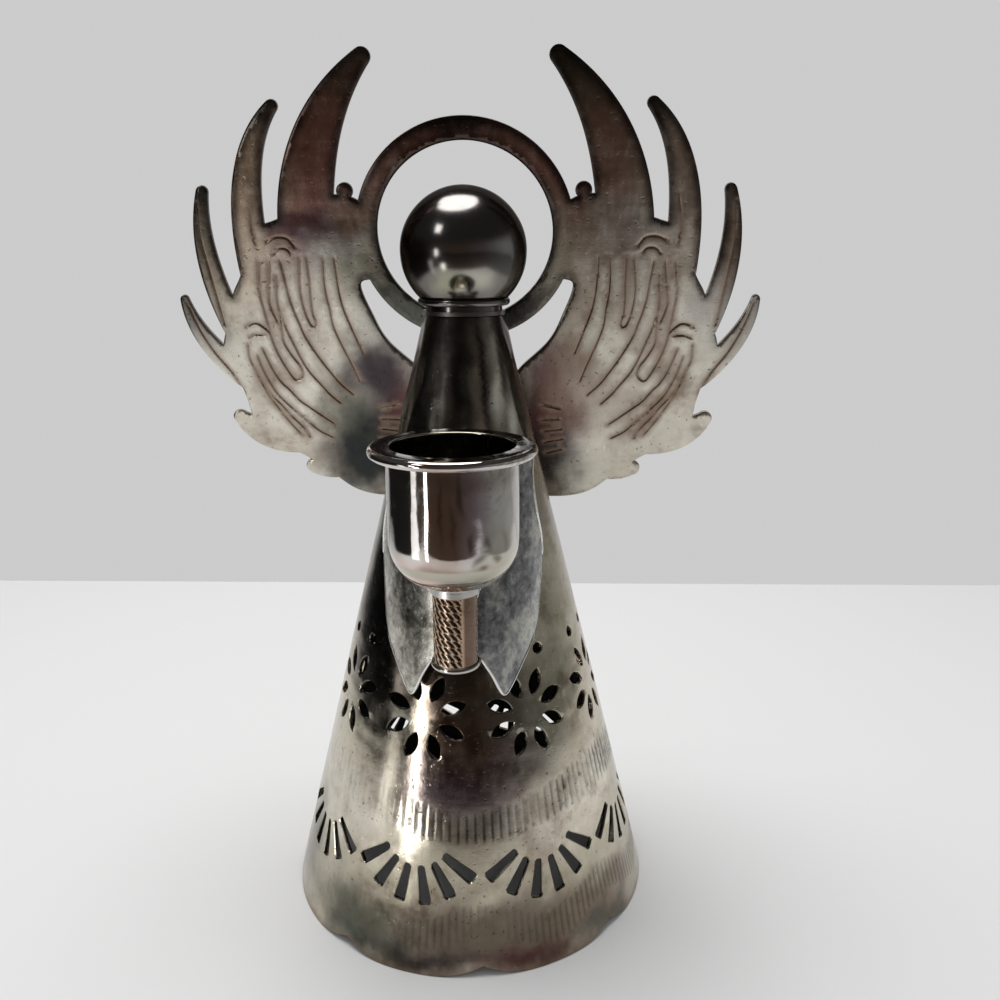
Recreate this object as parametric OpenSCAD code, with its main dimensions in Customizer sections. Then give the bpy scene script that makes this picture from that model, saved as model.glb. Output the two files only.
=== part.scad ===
// Angel candle holder: a rolled and pierced sheet skirt that carries a ball head,
// a flat plate with the halo and both wings, two leaf-shaped sleeves, and between
// the sleeves a socket tube in which the candle cup stands and lifts out.
// Millimetres. The origin is the centre of the hem on the floor, +Z is up,
// the angel faces -Y, and left and right are the viewer's.

/* [Skirt] */
// Outer radius of the skirt at the hem
hem_r = 40; // [36:0.5:44]
// Height of the rolled skirt from the floor to the neck
skirt_h = 127.8; // [120:0.2:136]
// Outer radius of the skirt at the neck
neck_r = 8.1; // [7.6:0.1:9]
// Thickness of the skirt sheet, measured square to the sheet
skirt_t = 0.8; // [0.6:0.1:1]
// Number of pierced motifs round the skirt
motifs = 8; // [6:1:8]
// How far the motifs stand round from the front, in degrees
pattern_turn = 7.5; // [-20:0.5:20]
// Height of the notches between the hem's lobes
hem_notch_h = 2.2; // [0.8:0.1:3]
// Half the width of a notch between two lobes
hem_notch_w = 10.5; // [6:0.5:11]

/* [Pierced fans] */
// Number of slots in a fan
fan_slots = 6; // [4:1:7]
// Angle from the first slot to the last, in degrees
fan_spread = 110; // [70:5:115]
// Distance from the hem up the sheet to the point the slots aim at
fan_up = 29; // [26:0.5:32]
// Distance from that point to the near end of a slot
fan_in = 7.2; // [7:0.1:9]
// Distance from that point to the far end of a slot
fan_out = 14.8; // [12:0.1:15]
// Width of a slot at its near end
fan_near_w = 1.3; // [0.8:0.1:1.6]
// Width of a slot at its far end
fan_far_w = 2.4; // [1.6:0.1:2.6]

/* [Pierced flowers] */
// Number of petals
petals = 8; // [5:1:8]
// Distance from the hem up the sheet to a flower's centre
flower_up = 52; // [48:0.5:55]
// Distance from the centre to the inner tip of a petal
petal_in = 3.6; // [3:0.1:4.5]
// Distance from the centre to the outer tip of a petal
petal_out = 9; // [7:0.1:9.5]
// Width of a petal
petal_w = 2.6; // [1.6:0.1:2.8]
// Radius of the dot holes above a flower
dot_r = 1.1; // [0.8:0.1:1.4]
// Distance from the hem up the sheet to the dot holes
dot_up = 64.4; // [64:0.2:70]
// Distance between the two dot holes of a flower
dot_gap = 8; // [6:0.2:10]

/* [Wings and halo] */
// Half the width of the plate from wing tip to wing tip
half_span = 61.7; // [56:0.1:66]
// Height of the plate from its lower edge to the upper feather tips
wing_h = 97; // [92:0.5:102]
// Distance from the halo's centre down the plate to its lower edge
wing_drop = 61.6; // [58:0.1:64]
// Thickness of the plate
wing_t = 0.9; // [0.7:0.1:1.2]
// How far the halo's centre stands above the ball's centre
halo_rise = 3.5; // [2:0.1:5]
// Inner radius of the halo
halo_in = 18; // [17:0.1:19]
// Outer radius of the halo
halo_out = 22.5; // [21.5:0.1:24]
// Radius of the small knob between halo and first feather
knob_r = 1.7; // [1.2:0.1:2.2]

/* [Rivets] */
// Radius of a rivet's shank
rivet_r = 1.2; // [0.9:0.1:1.5]
// Radius of a rivet's head
rivet_head_r = 2.3; // [2:0.1:2.8]
// Height of a rivet's head
rivet_head_h = 1.1; // [0.8:0.1:1.5]
// Distance from the plate's lower edge up to the lower rivet
rivet_up = 9; // [6:0.5:12]
// Distance between the two rivets
rivet_gap = 17; // [12:0.5:20]

/* [Head] */
// Outer radius of the ball head
head_r = 12.8; // [12:0.1:13.6]
// Wall thickness of the ball
head_t = 0.8; // [0.6:0.1:1.2]
// Radius of the flat opening under the ball
head_seat_r = 5.4; // [5:0.1:6]
// Thickness of the cap that closes the skirt's top
cap_t = 0.8; // [0.6:0.1:1.2]
// How far the cap's flange stands out over the skirt's edge
cap_lip = 0.3; // [0.1:0.1:0.5]
// How deep the cap's plug reaches into the skirt
cap_plug_h = 1; // [0.6:0.1:1.5]
// Outer radius of the collar
collar_r = 9.4; // [9:0.1:10]
// Height of the collar
collar_h = 2.7; // [2.3:0.1:3.2]
// Height of the collar's narrow foot
collar_foot_h = 1; // [0.6:0.1:1.3]
// Outer radius of the collar's foot
collar_foot_r = 7.8; // [7.5:0.1:8]
// Radius of the threaded stud that holds the head
stud_r = 2; // [1.5:0.1:2.2]
// Width across the flats of the nut inside the neck
nut_af = 7; // [6:0.5:7.5]
// Height of the nut
nut_h = 3.2; // [2.5:0.1:4]
// Outer radius of the washer above the nut
washer_r = 5; // [4.5:0.1:5.4]
// Thickness of the washer
washer_t = 0.8; // [0.6:0.1:1.2]
// Outer radius of the split lock washer between washer and nut
lock_r = 3.7; // [3.2:0.1:4.2]
// Thickness of the lock washer
lock_t = 1; // [0.8:0.1:1.2]
// Radius of the bush inside the ball
bush_r = 4.6; // [4:0.1:5]
// Height of the bush
bush_h = 5; // [4:0.1:7]

/* [Candle cup] */
// Radius of the straight bore that takes the candle
cup_bore_r = 11.2; // [11:0.1:12]
// Wall thickness of the cup
cup_t = 0.8; // [0.6:0.1:1]
// Outside height of the cup
cup_h = 26.4; // [25:0.2:28]
// Outer radius of the round between the cup's wall and bottom
cup_round = 8.8; // [7:0.1:9]
// Outer radius of the cup's flange
cup_flange_r = 15.3; // [14.5:0.1:16]
// Gap between the cup and the skirt where the cup's round ends
cup_gap = 1.9; // [1.5:0.1:3]
// Distance from the skirt's top down to the cup's underside
cup_drop = 47; // [44:0.5:48]
// Radius of the peg's spigot
peg_r = 3.3; // [3:0.05:3.5]
// Length of the spigot that stands in the tube
peg_l = 12.8; // [10:0.1:13]
// Radius of the collar on top of the peg
peg_collar_r = 4.7; // [4.5:0.1:5.2]
// Height of that collar
peg_collar_h = 1.4; // [1:0.1:2]
// Radius of the screw that holds the cup on its peg
screw_r = 1.5; // [1.2:0.1:1.6]
// Length of that screw under its head
screw_l = 8; // [6:0.5:9]
// Thickness of the washer under the screw's head
cup_washer_t = 0.5; // [0.4:0.1:0.8]
// Radius of the screw's head
screw_head_r = 2.7; // [2.3:0.1:2.9]
// Height of the screw's head
screw_head_h = 1.4; // [1:0.1:2]

/* [Socket tube] */
// Outer radius of the tube between the sleeves
tube_r = 4.2; // [4.1:0.1:4.6]
// Length of the tube
tube_l = 13.9; // [13.6:0.1:15]
// Radial play between spigot and tube
peg_play = 0.05; // [0.02:0.01:0.08]
// Height of the bead that closes the tube
end_cap_h = 1.2; // [0.8:0.1:1.6]
// How far the bead stands out from the tube
end_cap_lip = 0.5; // [0.2:0.1:0.8]

/* [Sleeves] */
// Radius to which a sleeve is bent
sleeve_bend_r = 25; // [24:0.5:26]
// Thickness of a sleeve
sleeve_t = 0.8; // [0.6:0.1:1]
// Width of a sleeve seen from the front
sleeve_w = 12; // [11.6:0.1:12.4]
// Height of a sleeve from its tip to its upper edge
sleeve_h = 48; // [46:0.5:49]
// Backward lean of a sleeve, in degrees
sleeve_lean = 9.5; // [9:0.1:10]
// Radius of the solder that joins the sleeves
solder_r = 1.1; // [0.8:0.1:1.4]

/* [Hidden] */
$fn = 96;

// Overrun of every cut past the face that it opens
over = 1;
// Play round a fastener in its hole
fastener_play = 0.05;

// Lean of the skirt's side from upright, and the sheet's width across
lean = atan((hem_r - neck_r) / skirt_h);
wall = skirt_t / cos(lean);
function skirt_r(z) = hem_r - z * tan(lean);

// Stack of the neck, from the skirt's top edge upwards
cap_top = skirt_h + cap_t;
head_drop = sqrt(head_r * head_r - head_seat_r * head_seat_r);
head_z = cap_top + head_drop;
// Play between the ball and the collar's hollow seat
head_play = 0.1;
nut_z = skirt_h - cap_plug_h - washer_t - lock_t - nut_h;
// Width and slant of the lock washer's split
lock_gap = 0.7;
lock_slant = 20;
// Length of stud that shows under the nut
stud_tail = 1.5;

// Places up the back of the skirt of the halo's centre, the plate and its rivets
halo_up = (head_z + halo_rise) / cos(lean);
wing_up = halo_up - wing_drop;
rivet_places = [wing_up + rivet_up, wing_up + rivet_up + rivet_gap];

// Cup, peg and tube, from the cup's underside downwards
cup_z = skirt_h - cup_drop;
cup_r = cup_bore_r + cup_t;
cup_reach = skirt_r(cup_z + cup_round) + cup_gap + cup_r;
// Radius of the rolled edge of the cup's flange
rim_roll = 0.9;
tube_top = cup_z - peg_collar_h;
tube_bottom = tube_top - tube_l;
// Depth to which the tube's closing cap reaches up into it
end_plug_h = 0.5;
// Chamfer at the foot of the spigot
peg_chamfer = 0.6;
// The washer in the cup fills the flat of its bottom but for this play
cup_washer_play = 0.1;
cup_washer_r = cup_bore_r + cup_t - cup_round - cup_washer_play;
screw_z = cup_z + cup_t + cup_washer_t;
// Width and depth of the screw's driver slot
driver_w = 0.8;
driver_d = 0.7;
// Radius of the rings turned into the tube, and their spacing
groove_r = 0.25;
groove_pitch = 1.3;

// Sleeve seen from the front: its tip is the origin of the outline,
// beside the middle and below the cup
sleeve_tip_x = 8.9;
sleeve_tip_drop = 23.9;
sleeve_tip_z = cup_z - sleeve_tip_drop;
// Point on the axis of a sleeve's bend: across the middle, below the cup
// and behind the skirt's front
bend_x = 7.9;
bend_drop = 5.8;
bend_back = 14.1;
bend_z = cup_z - bend_drop;
bend_y = skirt_r(bend_z) - bend_back;
// Clearance between a sleeve and the cup that lifts past it
cup_clear = 0.6;

// Outline of a sleeve: sideways as shares of its width, upwards of its height
sleeve_shares = [
    [0.00, 0.00], [0.13, 0.026], [0.30, 0.098], [0.465, 0.17], [0.575, 0.26],
    [0.617, 0.39],
    [0.60, 0.56], [0.51, 0.70], [0.44, 0.84], [0.44, 0.96], [0.34, 1.00],
    [0.225, 0.94], [0.175, 0.79], [0.11, 0.64], [-0.075, 0.535], [-0.36, 0.46],
    [-0.42, 0.38], [-0.41, 0.21], [-0.34, 0.17], [-0.17, 0.09],
];

// Solder beads behind a sleeve: how far below the cup on the skirt and on the tube,
// place across the sleeve and depth in the sheet as shares
solder_skirt_drop = 6.8;
solder_tube_drop = 8.8;
solder_skirt_z = cup_z - solder_skirt_drop;
solder_tube_z = cup_z - solder_tube_drop;
solder_across_share = 0.45;
solder_bite_share = 0.8;

// Palm of a wing without feathers: shares of half_span and wing_h
palm_shares = [
    [-0.06, -0.02], [0.21, 0.00], [0.36, 0.003], [0.45, 0.02], [0.53, 0.06],
    [0.62, 0.105], [0.74, 0.15], [0.80, 0.20], [0.815, 0.25], [0.835, 0.30],
    [0.872, 0.375], [0.85, 0.43], [0.825, 0.48], [0.805, 0.512], [0.775, 0.545],
    [0.70, 0.64], [0.64, 0.662], [0.585, 0.672], [0.50, 0.70], [0.44, 0.715],
    [0.34, 0.70], [0.15, 0.60], [-0.06, 0.60],
];

// Opening beside the neck, under the halo
gap_shares = [
    [0.36, 0.53], [0.325, 0.45], [0.28, 0.395], [0.20, 0.345], [0.14, 0.31],
    [0.12, 0.36], [0.13, 0.44], [0.24, 0.52],
];

// Place of the knob between halo and first feather
knob_share = [0.39, 0.722];

// Feathers: root, bend and tip as shares of half_span and wing_h,
// then the half widths at root and tip as shares of half_span
feather_shares = [
    [[0.532, 0.635], [0.516, 0.850], [0.302, 0.975], 0.094, 0.029],
    [[0.712, 0.520], [0.762, 0.780], [0.598, 0.887], 0.058, 0.021],
    [[0.800, 0.395], [0.923, 0.580], [0.862, 0.722], 0.044, 0.020],
    [[0.780, 0.294], [0.964, 0.389], [0.984, 0.492], 0.044, 0.015],
    [[0.600, 0.175], [0.770, 0.150], [0.851, 0.209], 0.085, 0.028],
    [[0.440, 0.110], [0.545, 0.075], [0.600, 0.080], 0.070, 0.030],
];

// Steps of a feather's edge, of its round tip and of a smooth outline
feather_steps = 10;
tip_steps = 6;
outline_steps = 4;
notch_steps = 4;
// Height of the small step at both ends of a notch
notch_rim = 0.06;
// Distance from the axis at which the cut of a notch begins
notch_from = 3 * hem_r / 4;

// Closed smooth curve through the points p, with n steps between two points
function smooth_loop(p, n) = [
    for (i = [0 : len(p) - 1], k = [0 : n - 1])
        let (t = k / n,
             m = len(p),
             a = p[(i + m - 1) % m],
             b = p[i],
             c = p[(i + 1) % m],
             d = p[(i + 2) % m])
        b + (c - a) * t / 2 + (2 * a - 5 * b + 4 * c - d) * t * t / 2
            + (3 * b - a - 3 * c + d) * t * t * t / 2
];

// Each point of a table of shares as a length, sideways and upwards
function scaled(shares, w, h) = [for (s = shares) [s[0] * w, s[1] * h]];

// Point and direction of a bend from a through the pull of b to c
function bend_point(a, b, c, t) =
    a * (1 - t) * (1 - t) + b * 2 * t * (1 - t) + c * t * t;
function bend_angle(a, b, c, t) =
    let (d = (b - a) * (1 - t) + (c - b) * t) atan2(d[1], d[0]);

// Point beside that bend, at distance r to its left
function beside(a, b, c, t, r) =
    let (g = bend_angle(a, b, c, t)) bend_point(a, b, c, t) + r * [-sin(g), cos(g)];

// Half width of a feather at t, full at the root and round at the tip
function feather_r(root_r, tip_r, t) = tip_r + (root_r - tip_r) * cos(90 * t);

// A feather with its middle line bent from root to tip
module feather_2d(root, pull, tip, root_r, tip_r) {
    end = bend_angle(root, pull, tip, 1);
    right = [for (i = [0 : feather_steps])
        let (t = i / feather_steps) beside(root, pull, tip, t, -feather_r(root_r, tip_r, t))];
    cap = [for (i = [1 : tip_steps - 1])
        let (g = end - 90 + 180 * i / tip_steps) tip + tip_r * [cos(g), sin(g)]];
    left = [for (i = [feather_steps : -1 : 0])
        let (t = i / feather_steps) beside(root, pull, tip, t, feather_r(root_r, tip_r, t))];
    polygon(concat(right, cap, left));
}

// Moves a flat outline onto the front of the skirt, where up runs up the sheet
module on_front() {
    translate([0, -hem_r, 0]) rotate([90 - lean, 0, 0]) children();
}

// Moves a flat outline onto the back of the skirt, where up runs up the sheet
module on_back() {
    translate([0, hem_r, 0]) rotate([90 + lean, 0, 0]) children();
}

// One straight slot along Y, v wide at the distance a and w wide at the distance b
module slot_2d(a, b, v, w) {
    polygon([[-v / 2, a], [v / 2, a], [w / 2, b], [-w / 2, b]]);
}

// Pointed petal from the distance a to the distance b along Y, of two equal arcs
module petal_2d(a, b, w) {
    chord = (b - a) / 2;
    arc_r = (chord * chord + w * w / 4) / w;
    intersection() {
        translate([w / 2 - arc_r, (a + b) / 2]) circle(r = arc_r);
        translate([arc_r - w / 2, (a + b) / 2]) circle(r = arc_r);
    }
}

// Fan of slots that opens downwards
module fan_2d() {
    for (i = [0 : fan_slots - 1])
        translate([0, fan_up])
            rotate(180 - fan_spread / 2 + fan_spread * i / (fan_slots - 1))
                slot_2d(fan_in, fan_out, fan_near_w, fan_far_w);
}

// Flower of pointed petals with two dots above it
module flower_2d() {
    for (i = [0 : petals - 1])
        translate([0, flower_up])
            rotate(360 * (i + 1 / 2) / petals) petal_2d(petal_in, petal_out, petal_w);
    for (side = [-1, 1])
        translate([side * dot_gap / 2, dot_up]) circle(r = dot_r);
}

// The pierced holes of one motif, cut square to the sheet from inside to outside
module motif_cut() {
    on_front()
        translate([0, 0, -hem_r / 2])
            linear_extrude(hem_r / 2 + over) {
                fan_2d();
                flower_2d();
            }
}

// Height of a notch at the share t of its half width from its middle
function notch_z(t) = notch_rim + (hem_notch_h - notch_rim) * pow(1 - t, 2);

// Notch between two lobes of the hem, pointed upwards
module hem_notch() {
    edge = [for (i = [-notch_steps : notch_steps])
        [hem_notch_w * i / notch_steps, notch_z(abs(i) / notch_steps)]];
    rotate([90, 0, 0])
        translate([0, 0, notch_from])
            linear_extrude(hem_r + over - notch_from)
                polygon(concat(edge, [[hem_notch_w, -over], [-hem_notch_w, -over]]));
}

// Solid cone inside the skirt's outer face, drawn in by the distance d
module skirt_body(d) {
    rotate_extrude()
        polygon([[0, 0], [hem_r - d, 0], [neck_r - d, skirt_h], [0, skirt_h]]);
}

// The holes that the rivets pass through
module rivet_holes() {
    for (up = rivet_places)
        on_back()
            translate([0, up, -wing_t - over])
                cylinder(r = rivet_r + fastener_play, h = wing_t + wall + rivet_head_h + 2 * over);
}

module skirt() {
    color([0.70, 0.67, 0.62])
    difference() {
        rotate_extrude()
            polygon([[hem_r - wall, 0], [hem_r, 0], [neck_r, skirt_h], [neck_r - wall, skirt_h]]);
        for (i = [0 : motifs - 1])
            rotate([0, 0, pattern_turn + 360 * (i + 1 / 2) / motifs]) motif_cut();
        for (i = [0 : motifs - 1])
            rotate([0, 0, pattern_turn + 360 * i / motifs]) hem_notch();
        rivet_holes();
    }
}

// One wing, seen from the front, measured up the back of the skirt
module half_wing_2d() {
    difference() {
        intersection() {
            polygon(smooth_loop(scaled(palm_shares, half_span, wing_h), outline_steps));
            translate([-half_span, 0]) square([2 * half_span, wing_h]);
        }
        polygon(smooth_loop(scaled(gap_shares, half_span, wing_h), outline_steps));
    }
    for (f = feather_shares) {
        p = scaled([f[0], f[1], f[2]], half_span, wing_h);
        feather_2d(p[0], p[1], p[2], f[3] * half_span, f[4] * half_span);
    }
    translate([knob_share[0] * half_span, knob_share[1] * wing_h]) circle(r = knob_r);
}

module wing_halo_plate() {
    color([0.62, 0.58, 0.53])
    difference() {
        on_back()
            translate([0, 0, -wing_t])
                linear_extrude(wing_t)
                    difference() {
                        union() {
                            translate([0, wing_up]) {
                                half_wing_2d();
                                mirror([1, 0]) half_wing_2d();
                            }
                            translate([0, halo_up]) circle(r = halo_out);
                        }
                        translate([0, halo_up]) circle(r = halo_in);
                    }
        rivet_holes();
    }
}

// Domed head of the radius r and height h, its flat side down
module dome_head(r, h) {
    ball = (r * r + h * h) / (2 * h);
    intersection() {
        translate([0, 0, h - ball]) sphere(r = ball);
        cylinder(r = r, h = h);
    }
}

module wing_rivets() {
    color([0.66, 0.63, 0.58])
    for (up = rivet_places) {
        on_back()
            translate([0, up, -wing_t]) {
                cylinder(r = rivet_r, h = wing_t + wall + rivet_head_h / 2);
                mirror([0, 0, 1]) dome_head(rivet_head_r, rivet_head_h);
            }
        intersection() {
            skirt_body(wall);
            on_back() translate([0, up, wall / 2]) dome_head(rivet_head_r, wall / 2 + rivet_head_h);
        }
    }
}

module neck_cap() {
    color([0.34, 0.32, 0.31])
    difference() {
        union() {
            translate([0, 0, skirt_h]) cylinder(r = neck_r + cap_lip, h = cap_t);
            translate([0, 0, skirt_h - cap_plug_h])
                cylinder(r = neck_r - wall - fastener_play, h = cap_plug_h + cap_t);
        }
        translate([0, 0, skirt_h - cap_plug_h - over])
            cylinder(r = stud_r + fastener_play, h = cap_plug_h + cap_t + 2 * over);
    }
}

module neck_collar() {
    bead_r = (collar_h - collar_foot_h) / 2;
    color([0.30, 0.29, 0.28])
    difference() {
        translate([0, 0, cap_top])
            rotate_extrude() {
                square([collar_foot_r, collar_h / 2]);
                translate([0, collar_foot_h]) square([collar_r - bead_r, 2 * bead_r]);
                translate([collar_r - bead_r, collar_h - bead_r]) circle(r = bead_r);
            }
        translate([0, 0, head_z]) sphere(r = head_r + head_play);
        translate([0, 0, cap_top - over]) cylinder(r = head_seat_r + head_play, h = 2 * over);
    }
}

module head_ball() {
    color([0.24, 0.23, 0.22])
    difference() {
        translate([0, 0, head_z]) sphere(r = head_r);
        translate([0, 0, head_z]) sphere(r = head_r - head_t);
        translate([0, 0, cap_top - head_r]) cylinder(r = head_r, h = head_r);
        translate([0, 0, cap_top - over]) cylinder(r = bush_r + fastener_play, h = bush_h + over);
    }
}

module head_bush() {
    color([0.72, 0.60, 0.36])
    difference() {
        translate([0, 0, cap_top]) cylinder(r = bush_r, h = bush_h);
        translate([0, 0, cap_top - over])
            cylinder(r = stud_r + fastener_play, h = bush_h + 2 * over);
    }
}

module head_stud() {
    color([0.55, 0.55, 0.55])
    translate([0, 0, nut_z - stud_tail])
        cylinder(r = stud_r, h = cap_top + bush_h - nut_z + stud_tail);
}

module head_washer() {
    color([0.60, 0.60, 0.60])
    translate([0, 0, nut_z + nut_h + lock_t])
        difference() {
            cylinder(r = washer_r, h = washer_t);
            translate([0, 0, -over])
                cylinder(r = stud_r + fastener_play, h = washer_t + 2 * over);
        }
}

module head_lock_washer() {
    color([0.48, 0.48, 0.48])
    translate([0, 0, nut_z + nut_h])
        difference() {
            cylinder(r = lock_r, h = lock_t);
            translate([0, 0, -over])
                cylinder(r = stud_r + fastener_play, h = lock_t + 2 * over);
            translate([0, 0, lock_t / 2])
                rotate([lock_slant, 0, 0])
                    translate([0, -lock_gap / 2, -lock_t - over])
                        cube([lock_r + over, lock_gap, 2 * (lock_t + over)]);
        }
}

module head_nut() {
    color([0.55, 0.55, 0.55])
    translate([0, 0, nut_z])
        difference() {
            cylinder(d = nut_af / cos(30), h = nut_h, $fn = 6);
            translate([0, 0, -over])
                cylinder(r = stud_r + fastener_play, h = nut_h + 2 * over);
        }
}

// Half of a cup's section, of the outer radius r and the round e, from its underside up
module cup_half_2d(r, e, h) {
    translate([0, e]) square([r, h - e]);
    square([r - e, e]);
    intersection() {
        translate([r - e, e]) circle(r = e);
        square([r, e]);
    }
}

// The cup's outer form, grown by the distance d
module cup_body(d) {
    translate([0, -cup_reach, cup_z - d])
        rotate_extrude() cup_half_2d(cup_r + d, cup_round + d, cup_h + d);
}

module candle_cup() {
    color([0.82, 0.82, 0.80])
    difference() {
        translate([0, -cup_reach, cup_z])
            rotate_extrude() {
                cup_half_2d(cup_r, cup_round, cup_h);
                translate([0, cup_h - cup_t]) square([cup_flange_r - rim_roll, cup_t]);
                translate([cup_flange_r - rim_roll, cup_h - rim_roll]) circle(r = rim_roll);
            }
        translate([0, -cup_reach, cup_z + cup_t])
            rotate_extrude() cup_half_2d(cup_bore_r, cup_round - cup_t, cup_h + over);
        translate([0, -cup_reach, cup_z - over])
            cylinder(r = screw_r + fastener_play, h = cup_t + 2 * over);
    }
}

module cup_peg() {
    color([0.60, 0.58, 0.55])
    difference() {
        translate([0, -cup_reach, tube_top]) {
            cylinder(r = peg_collar_r, h = peg_collar_h + cup_t);
            translate([0, 0, peg_chamfer - peg_l]) cylinder(r = peg_r, h = peg_l - peg_chamfer);
            translate([0, 0, -peg_l])
                cylinder(r1 = peg_r - peg_chamfer, r2 = peg_r, h = peg_chamfer);
        }
        cup_body(0);
        translate([0, -cup_reach, screw_z - screw_l - over])
            cylinder(r = screw_r + fastener_play, h = screw_l + over);
    }
}

module cup_washer() {
    color([0.58, 0.58, 0.56])
    translate([0, -cup_reach, cup_z + cup_t])
        difference() {
            cylinder(r = cup_washer_r, h = cup_washer_t);
            translate([0, 0, -over])
                cylinder(r = screw_r + fastener_play, h = cup_washer_t + 2 * over);
        }
}

module cup_screw() {
    color([0.62, 0.62, 0.60])
    translate([0, -cup_reach, screw_z])
        difference() {
            union() {
                dome_head(screw_head_r, screw_head_h);
                translate([0, 0, -screw_l]) cylinder(r = screw_r, h = screw_l);
            }
            translate([-screw_head_r - over, -driver_w / 2, screw_head_h - driver_d])
                cube([2 * (screw_head_r + over), driver_w, driver_d + over]);
        }
}

module socket_tube() {
    color([0.46, 0.38, 0.31])
    translate([0, -cup_reach, tube_bottom])
        difference() {
            cylinder(r = tube_r, h = tube_l);
            translate([0, 0, -over]) cylinder(r = peg_r + peg_play, h = tube_l + 2 * over);
            for (z = [groove_pitch : groove_pitch : tube_l - groove_pitch])
                translate([0, 0, z])
                    rotate_extrude() translate([tube_r, 0]) circle(r = groove_r, $fn = 24);
        }
}

module socket_end_cap() {
    color([0.66, 0.63, 0.58])
    translate([0, -cup_reach, tube_bottom - end_cap_h])
        union() {
            rotate_extrude() {
                square([tube_r + end_cap_lip - end_cap_h / 2, end_cap_h]);
                translate([tube_r + end_cap_lip - end_cap_h / 2, end_cap_h / 2])
                    circle(d = end_cap_h);
            }
            cylinder(r = peg_r, h = end_cap_h + end_plug_h);
        }
}

// Upright prism of a sleeve's outline, right of the middle
module sleeve_prism() {
    translate([sleeve_tip_x, 0, sleeve_tip_z])
        rotate([90, 0, 0])
            linear_extrude(hem_r + cup_reach)
                polygon(smooth_loop(scaled(sleeve_shares, sleeve_w, sleeve_h), outline_steps));
}

// Leaning drum whose wall is the sleeve's sheet, drawn in by the distance d
module sleeve_drum(d) {
    translate([-bend_x, -bend_y, bend_z])
        rotate([-sleeve_lean, 0, 0])
            cylinder(r = sleeve_bend_r - d, h = 4 * sleeve_h, center = true, $fn = 180);
}

// The right sleeve: a leaf cut from the drum's wall, clear of the cup
module sleeve() {
    difference() {
        intersection() {
            sleeve_prism();
            sleeve_drum(0);
        }
        sleeve_drum(sleeve_t);
        cup_body(cup_clear);
        skirt_body(0);
        translate([0, -cup_reach, 0]) cylinder(r = tube_r, h = skirt_h);
    }
}

module right_sleeve() {
    color([0.58, 0.57, 0.55]) sleeve();
}

module left_sleeve() {
    color([0.66, 0.65, 0.62]) mirror([1, 0, 0]) sleeve();
}

// Inner face of the right sleeve's sheet at the place x across and the height z
function sleeve_back(x, z) =
    (z - bend_z) * tan(sleeve_lean) - bend_y
    - sqrt(pow(sleeve_bend_r - sleeve_t, 2) - pow(x + bend_x, 2)) / cos(sleeve_lean);

module sleeve_solder() {
    skirt_x = sleeve_tip_x + solder_across_share * sleeve_w;
    skirt_y = -sqrt(pow(skirt_r(solder_skirt_z), 2) - skirt_x * skirt_x);
    tube_x = tube_r + (1 - solder_bite_share) * solder_r;
    color([0.74, 0.73, 0.70])
    for (side = [0, 1])
        mirror([side, 0, 0])
            difference() {
                intersection() {
                    union() {
                        translate([
                            skirt_x,
                            (skirt_y + sleeve_back(skirt_x, solder_skirt_z)) / 2,
                            solder_skirt_z,
                        ])
                            rotate([90, 0, 0]) sphere(r = solder_r);
                        translate([
                            tube_x,
                            sleeve_back(tube_x, solder_tube_z) + solder_bite_share * solder_r,
                            solder_tube_z,
                        ])
                            rotate([90, 0, 0]) sphere(r = solder_r);
                    }
                    sleeve_drum(sleeve_t);
                }
                skirt_body(0);
                translate([0, -cup_reach, 0]) cylinder(r = tube_r, h = skirt_h);
            }
}

skirt();
wing_halo_plate();
wing_rivets();
neck_cap();
neck_collar();
head_ball();
head_bush();
head_stud();
head_washer();
head_lock_washer();
head_nut();
left_sleeve();
right_sleeve();
sleeve_solder();
socket_tube();
socket_end_cap();
candle_cup();
cup_peg();
cup_washer();
cup_screw();
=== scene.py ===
"""Dresses the angel candle holder: pierced skirt, engraved wing plate, polished head and cup."""
import math

import bpy
import numpy as np
from mathutils import Euler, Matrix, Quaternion, Vector
from mathutils.geometry import delaunay_2d_cdt


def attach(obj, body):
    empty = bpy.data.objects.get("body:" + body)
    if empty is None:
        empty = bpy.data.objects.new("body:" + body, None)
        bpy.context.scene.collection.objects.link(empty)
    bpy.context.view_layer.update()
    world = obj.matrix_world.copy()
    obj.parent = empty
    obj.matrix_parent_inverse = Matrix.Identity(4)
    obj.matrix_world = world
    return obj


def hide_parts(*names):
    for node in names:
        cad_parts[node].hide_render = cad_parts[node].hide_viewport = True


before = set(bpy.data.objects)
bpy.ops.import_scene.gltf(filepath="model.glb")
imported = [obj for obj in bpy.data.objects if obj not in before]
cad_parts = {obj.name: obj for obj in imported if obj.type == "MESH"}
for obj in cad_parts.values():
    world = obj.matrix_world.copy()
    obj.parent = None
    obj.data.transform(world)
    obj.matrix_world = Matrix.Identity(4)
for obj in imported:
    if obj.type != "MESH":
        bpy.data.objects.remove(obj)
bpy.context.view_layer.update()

bl_info = {
    "name": "Angel Candle Holder",
    "version": (1, 0, 0),
    "blender": (4, 5, 0),
    "location": "View3D > Sidebar > Angel",
    "description": "Builds the sheet-metal surfaces, finishes and stage of an angel candle holder",
    "category": "Object",
}

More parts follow.
